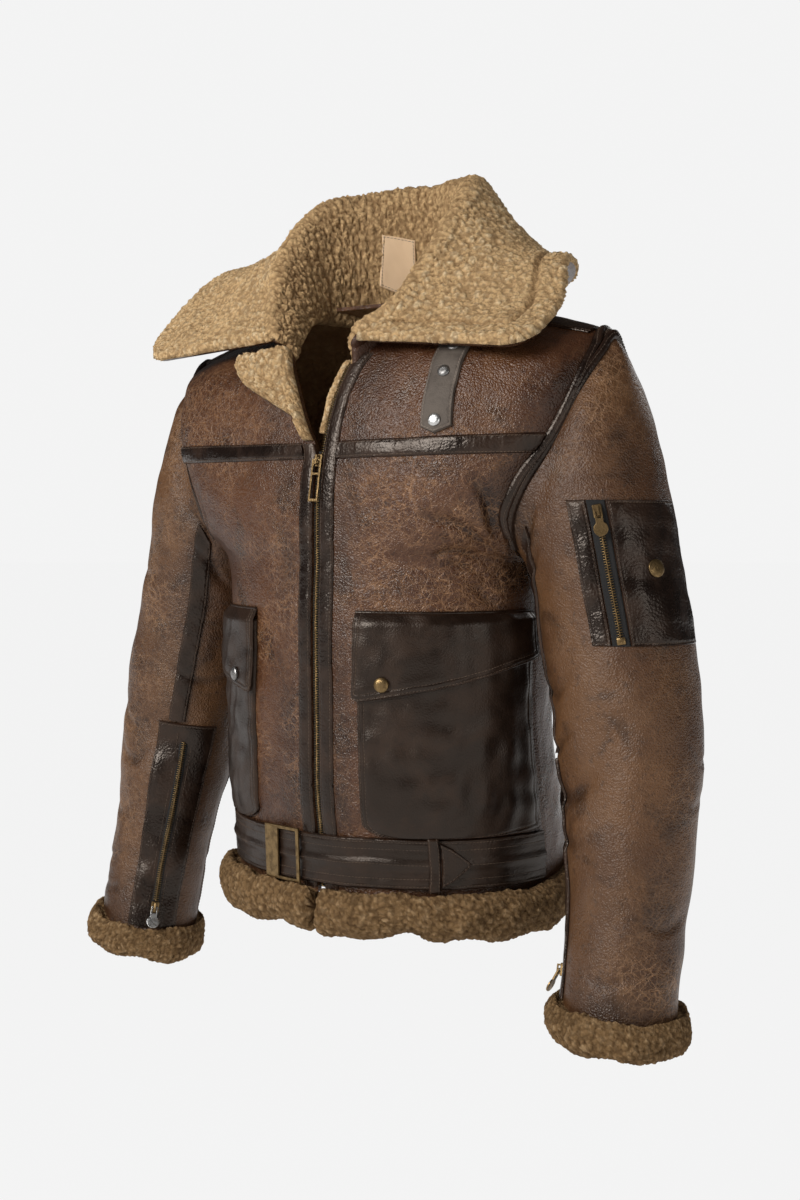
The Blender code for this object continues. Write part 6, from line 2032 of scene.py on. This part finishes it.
def makeTeeth():
    tooth = toothUnit(toothLook["reach"], toothLook["wide"], toothLook["tall"])
    stop = panels["front", "left"].riseAt(form["zipTop"] - 0.010, 0.0)
    rises = np.linspace(0.004, stop, 400)
    left, _, out = zipEdge("left", rises)
    right = zipEdge("right", rises)[0]
    rows = toothRows((left + right) / 2 - out * 0.0017, out)
    rises = np.linspace(stop + 0.035, 1.78, 120)
    left, _, out = zipEdge("left", rises)
    rows.append(((left - out * 0.0017)[::-1] + np.array([0.0014, 0, 0]), out[::-1]))
    setAlong("front_zip_teeth", rows, tooth, "brass", toothLook["pitch"])
    arm = arms["left"]
    turn = sum(sleevePocketForm["turns"][1:3]) / 2
    heights = np.linspace(-0.2215, -0.329, 160)[:, None]
    alongs = alongAt(arm, heights, np.array([[turn]]))[:, 0]
    line, way = arm.at(alongs, turn, 0.0013), arm.lean(alongs, np.full(len(alongs), turn))
    setAlong("sleeve_pocket_teeth", toothRows(line, way), tooth, "brass", toothLook["pitch"])
    for side, arm in arms.items():
        turn = (cuffForm["turns"][1] + cuffForm["turns"][2]) / 2 + cuffTurn[side]
        top = arm.riseAt(cuffForm["top"], turn) + 0.037
        alongs = np.linspace(0.928, top, 200)
        line, way = arm.at(alongs, turn, 0.0036), arm.lean(alongs, np.full(200, turn))
        setAlong(
            f"cuff_teeth_{side}", toothRows(line, way), tooth, "brass", toothLook["pitch"]
        )
    bpy.data.objects.remove(tooth, do_unlink=True)


makeTeeth()
bpy.data.objects.remove(stitch, do_unlink=True)


def makeEndStop():
    arm = arms["left"]
    turn = sum(sleevePocketForm["turns"][1:3]) / 2
    along = alongAt(arm, np.array([[-0.3285]]), np.array([[turn]]))[0, 0]
    place, way = arm.at(along, turn, 0.0010), arm.lean(along, turn)
    down = unit(arm.at(along + 0.01, turn) - place)
    across = np.cross(down, way)
    outline = [
        (-0.0040, -0.0026), (-0.0034, -0.0033), (0.0034, -0.0033), (0.0040, -0.0026), (0.0040, 0.0026),
        (0.0034, 0.0033), (-0.0034, 0.0033), (-0.0040, 0.0026)
    ]
    rings = []
    for scale, lift in ((1.0, 0.0), (1.0, 0.0016), (0.86, 0.0021)):
        rings.append([place + across * x * scale + down * y * scale + way * lift for x, y in outline])
    piece = unitMesh("sleeve_pocket_stop", rings)
    piece.data.materials.append(finishes["brass"])
    finishPiece(piece)


makeEndStop()
print("teeth set")

# metal carried over from the solids
metals = {
    "brass": ("buckle", "front_slider", "front_pull", "sleeve_pocket_slider", "sleeve_pocket_pull", "cuff_slider_left",
              "cuff_slider_right", "cuff_pull_left", "sleeve_stud", "flap_snap_left"),
    "gunmetal": ("strap_snap_2", "strap_snap_3", "flap_snap_right"),
    "silver": ("strap_snap_1", "cuff_pull_right"),
}
for finish, names in metals.items():
    for name in names:
        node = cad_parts[name]
        node.data.materials.clear()
        node.data.materials.append(finishes[finish])
        weld = node.modifiers.new("Joined", "WELD")
        weld.merge_threshold = 0.00001
        round_ = node.modifiers.new("Worn edges", "BEVEL")
        round_.width = 0.00035
        round_.segments = 2
        round_.limit_method = "ANGLE"
        round_.angle_limit = radians(35)
        round_.harden_normals = False
        if "snap" in name or "stud" in name:
            domed = node.modifiers.new("Domed", "SUBSURF")
            domed.levels = domed.render_levels = 2
print("metal finished")
# floor and soft studio light
studio = {
    "floor": -1.40, "floorTone": 0.03, "floorGlow": 0.885, "sky": 0.22, "seen": 0.90, "mirrored": 0.05,
    "key": 82.0, "fill": 7.0, "rim": 9.0
}


def makeStudio():
    mesh = bpy.data.meshes.new("studioFloor")
    rings = [
        [(r * cos(2 * pi * k / 64), r * sin(2 * pi * k / 64), studio["floor"]) for k in range(64)]
        for r in (0.01, 4.0, 60.0)
    ]
    points = [p for ring in rings for p in ring]
    faces = [list(range(64))]
    faces += [
        [r * 64 + k, r * 64 + (k + 1) % 64, (r + 1) * 64 + (k + 1) % 64, (r + 1) * 64 + k][::-1]
        for r in (0, 1) for k in range(64)
    ]
    mesh.from_pydata(points, [], faces)
    floor = bpy.data.objects.new("studioFloor", mesh)
    bpy.context.scene.collection.objects.link(floor)
    pale = bpy.data.materials.new("pale_floor")
    pale.use_nodes = True
    shader = pale.node_tree.nodes["Principled BSDF"]
    shader.inputs["Base Color"].default_value = (studio["floorTone"],) * 3 + (1,)
    shader.inputs["Roughness"].default_value = 0.9
    shader.inputs["Emission Color"].default_value = (1, 1, 1, 1)
    shader.inputs["Specular IOR Level"].default_value = 0.0
    shader.inputs["Emission Strength"].default_value = studio["floorGlow"]
    mesh.materials.append(pale)
    world = bpy.data.worlds.new("softRoom")
    bpy.context.scene.world = world
    world.use_nodes = True
    tree = world.node_tree
    node = builder(tree)
    rays = node("ShaderNodeLightPath").outputs
    lit = node(
        "ShaderNodeMapRange",
        {"Value": rays["Is Glossy Ray"], "To Min": studio["sky"], "To Max": studio["mirrored"]}
    )
    strength = node(
        "ShaderNodeMix", {"Factor": rays["Is Camera Ray"], "A": lit.outputs["Result"], "B": studio["seen"]}
    )
    sky = tree.nodes["Background"]
    sky.inputs["Color"].default_value = (1, 1, 1, 1)
    tree.links.new(strength.outputs["Result"], sky.inputs["Strength"])
    bpy.context.scene.view_settings.view_transform = "Standard"
    target = Vector((0.02, 0.0, -0.30))
    for name, place, size, power in (
        ("keyLight", -viewRight * 1.9 - viewAhead * 1.7 + viewUp * 1.35, 1.5, studio["key"]),
        ("fillLight", viewRight * 1.6 - viewAhead * 2.4 + viewUp * 0.5, 0.9, studio["fill"]),
        ("rimLight", viewRight * 1.4 + viewAhead * 1.9 + viewUp * 1.2, 1.2, studio["rim"]),
    ):
        data = bpy.data.lights.new(name, "AREA")
        data.shape = "DISK"
        data.size = size
        data.energy = power
        lamp = bpy.data.objects.new(name, data)
        lamp.location = target + place
        lamp.rotation_euler = (target - lamp.location).to_track_quat("-Z", "Y").to_euler()
        bpy.context.scene.collection.objects.link(lamp)


makeStudio()
triangles = sum(sum(len(p.vertices) - 2 for p in piece.data.polygons) for piece in made.values())
print(
    "triangles added:", triangles,
    {
        k: sum(len(p.vertices) - 2 for p in v.data.polygons) for k,
        v in made.items() if len(v.data.polygons) > 40000
    }
)

bpy.context.view_layer.update()
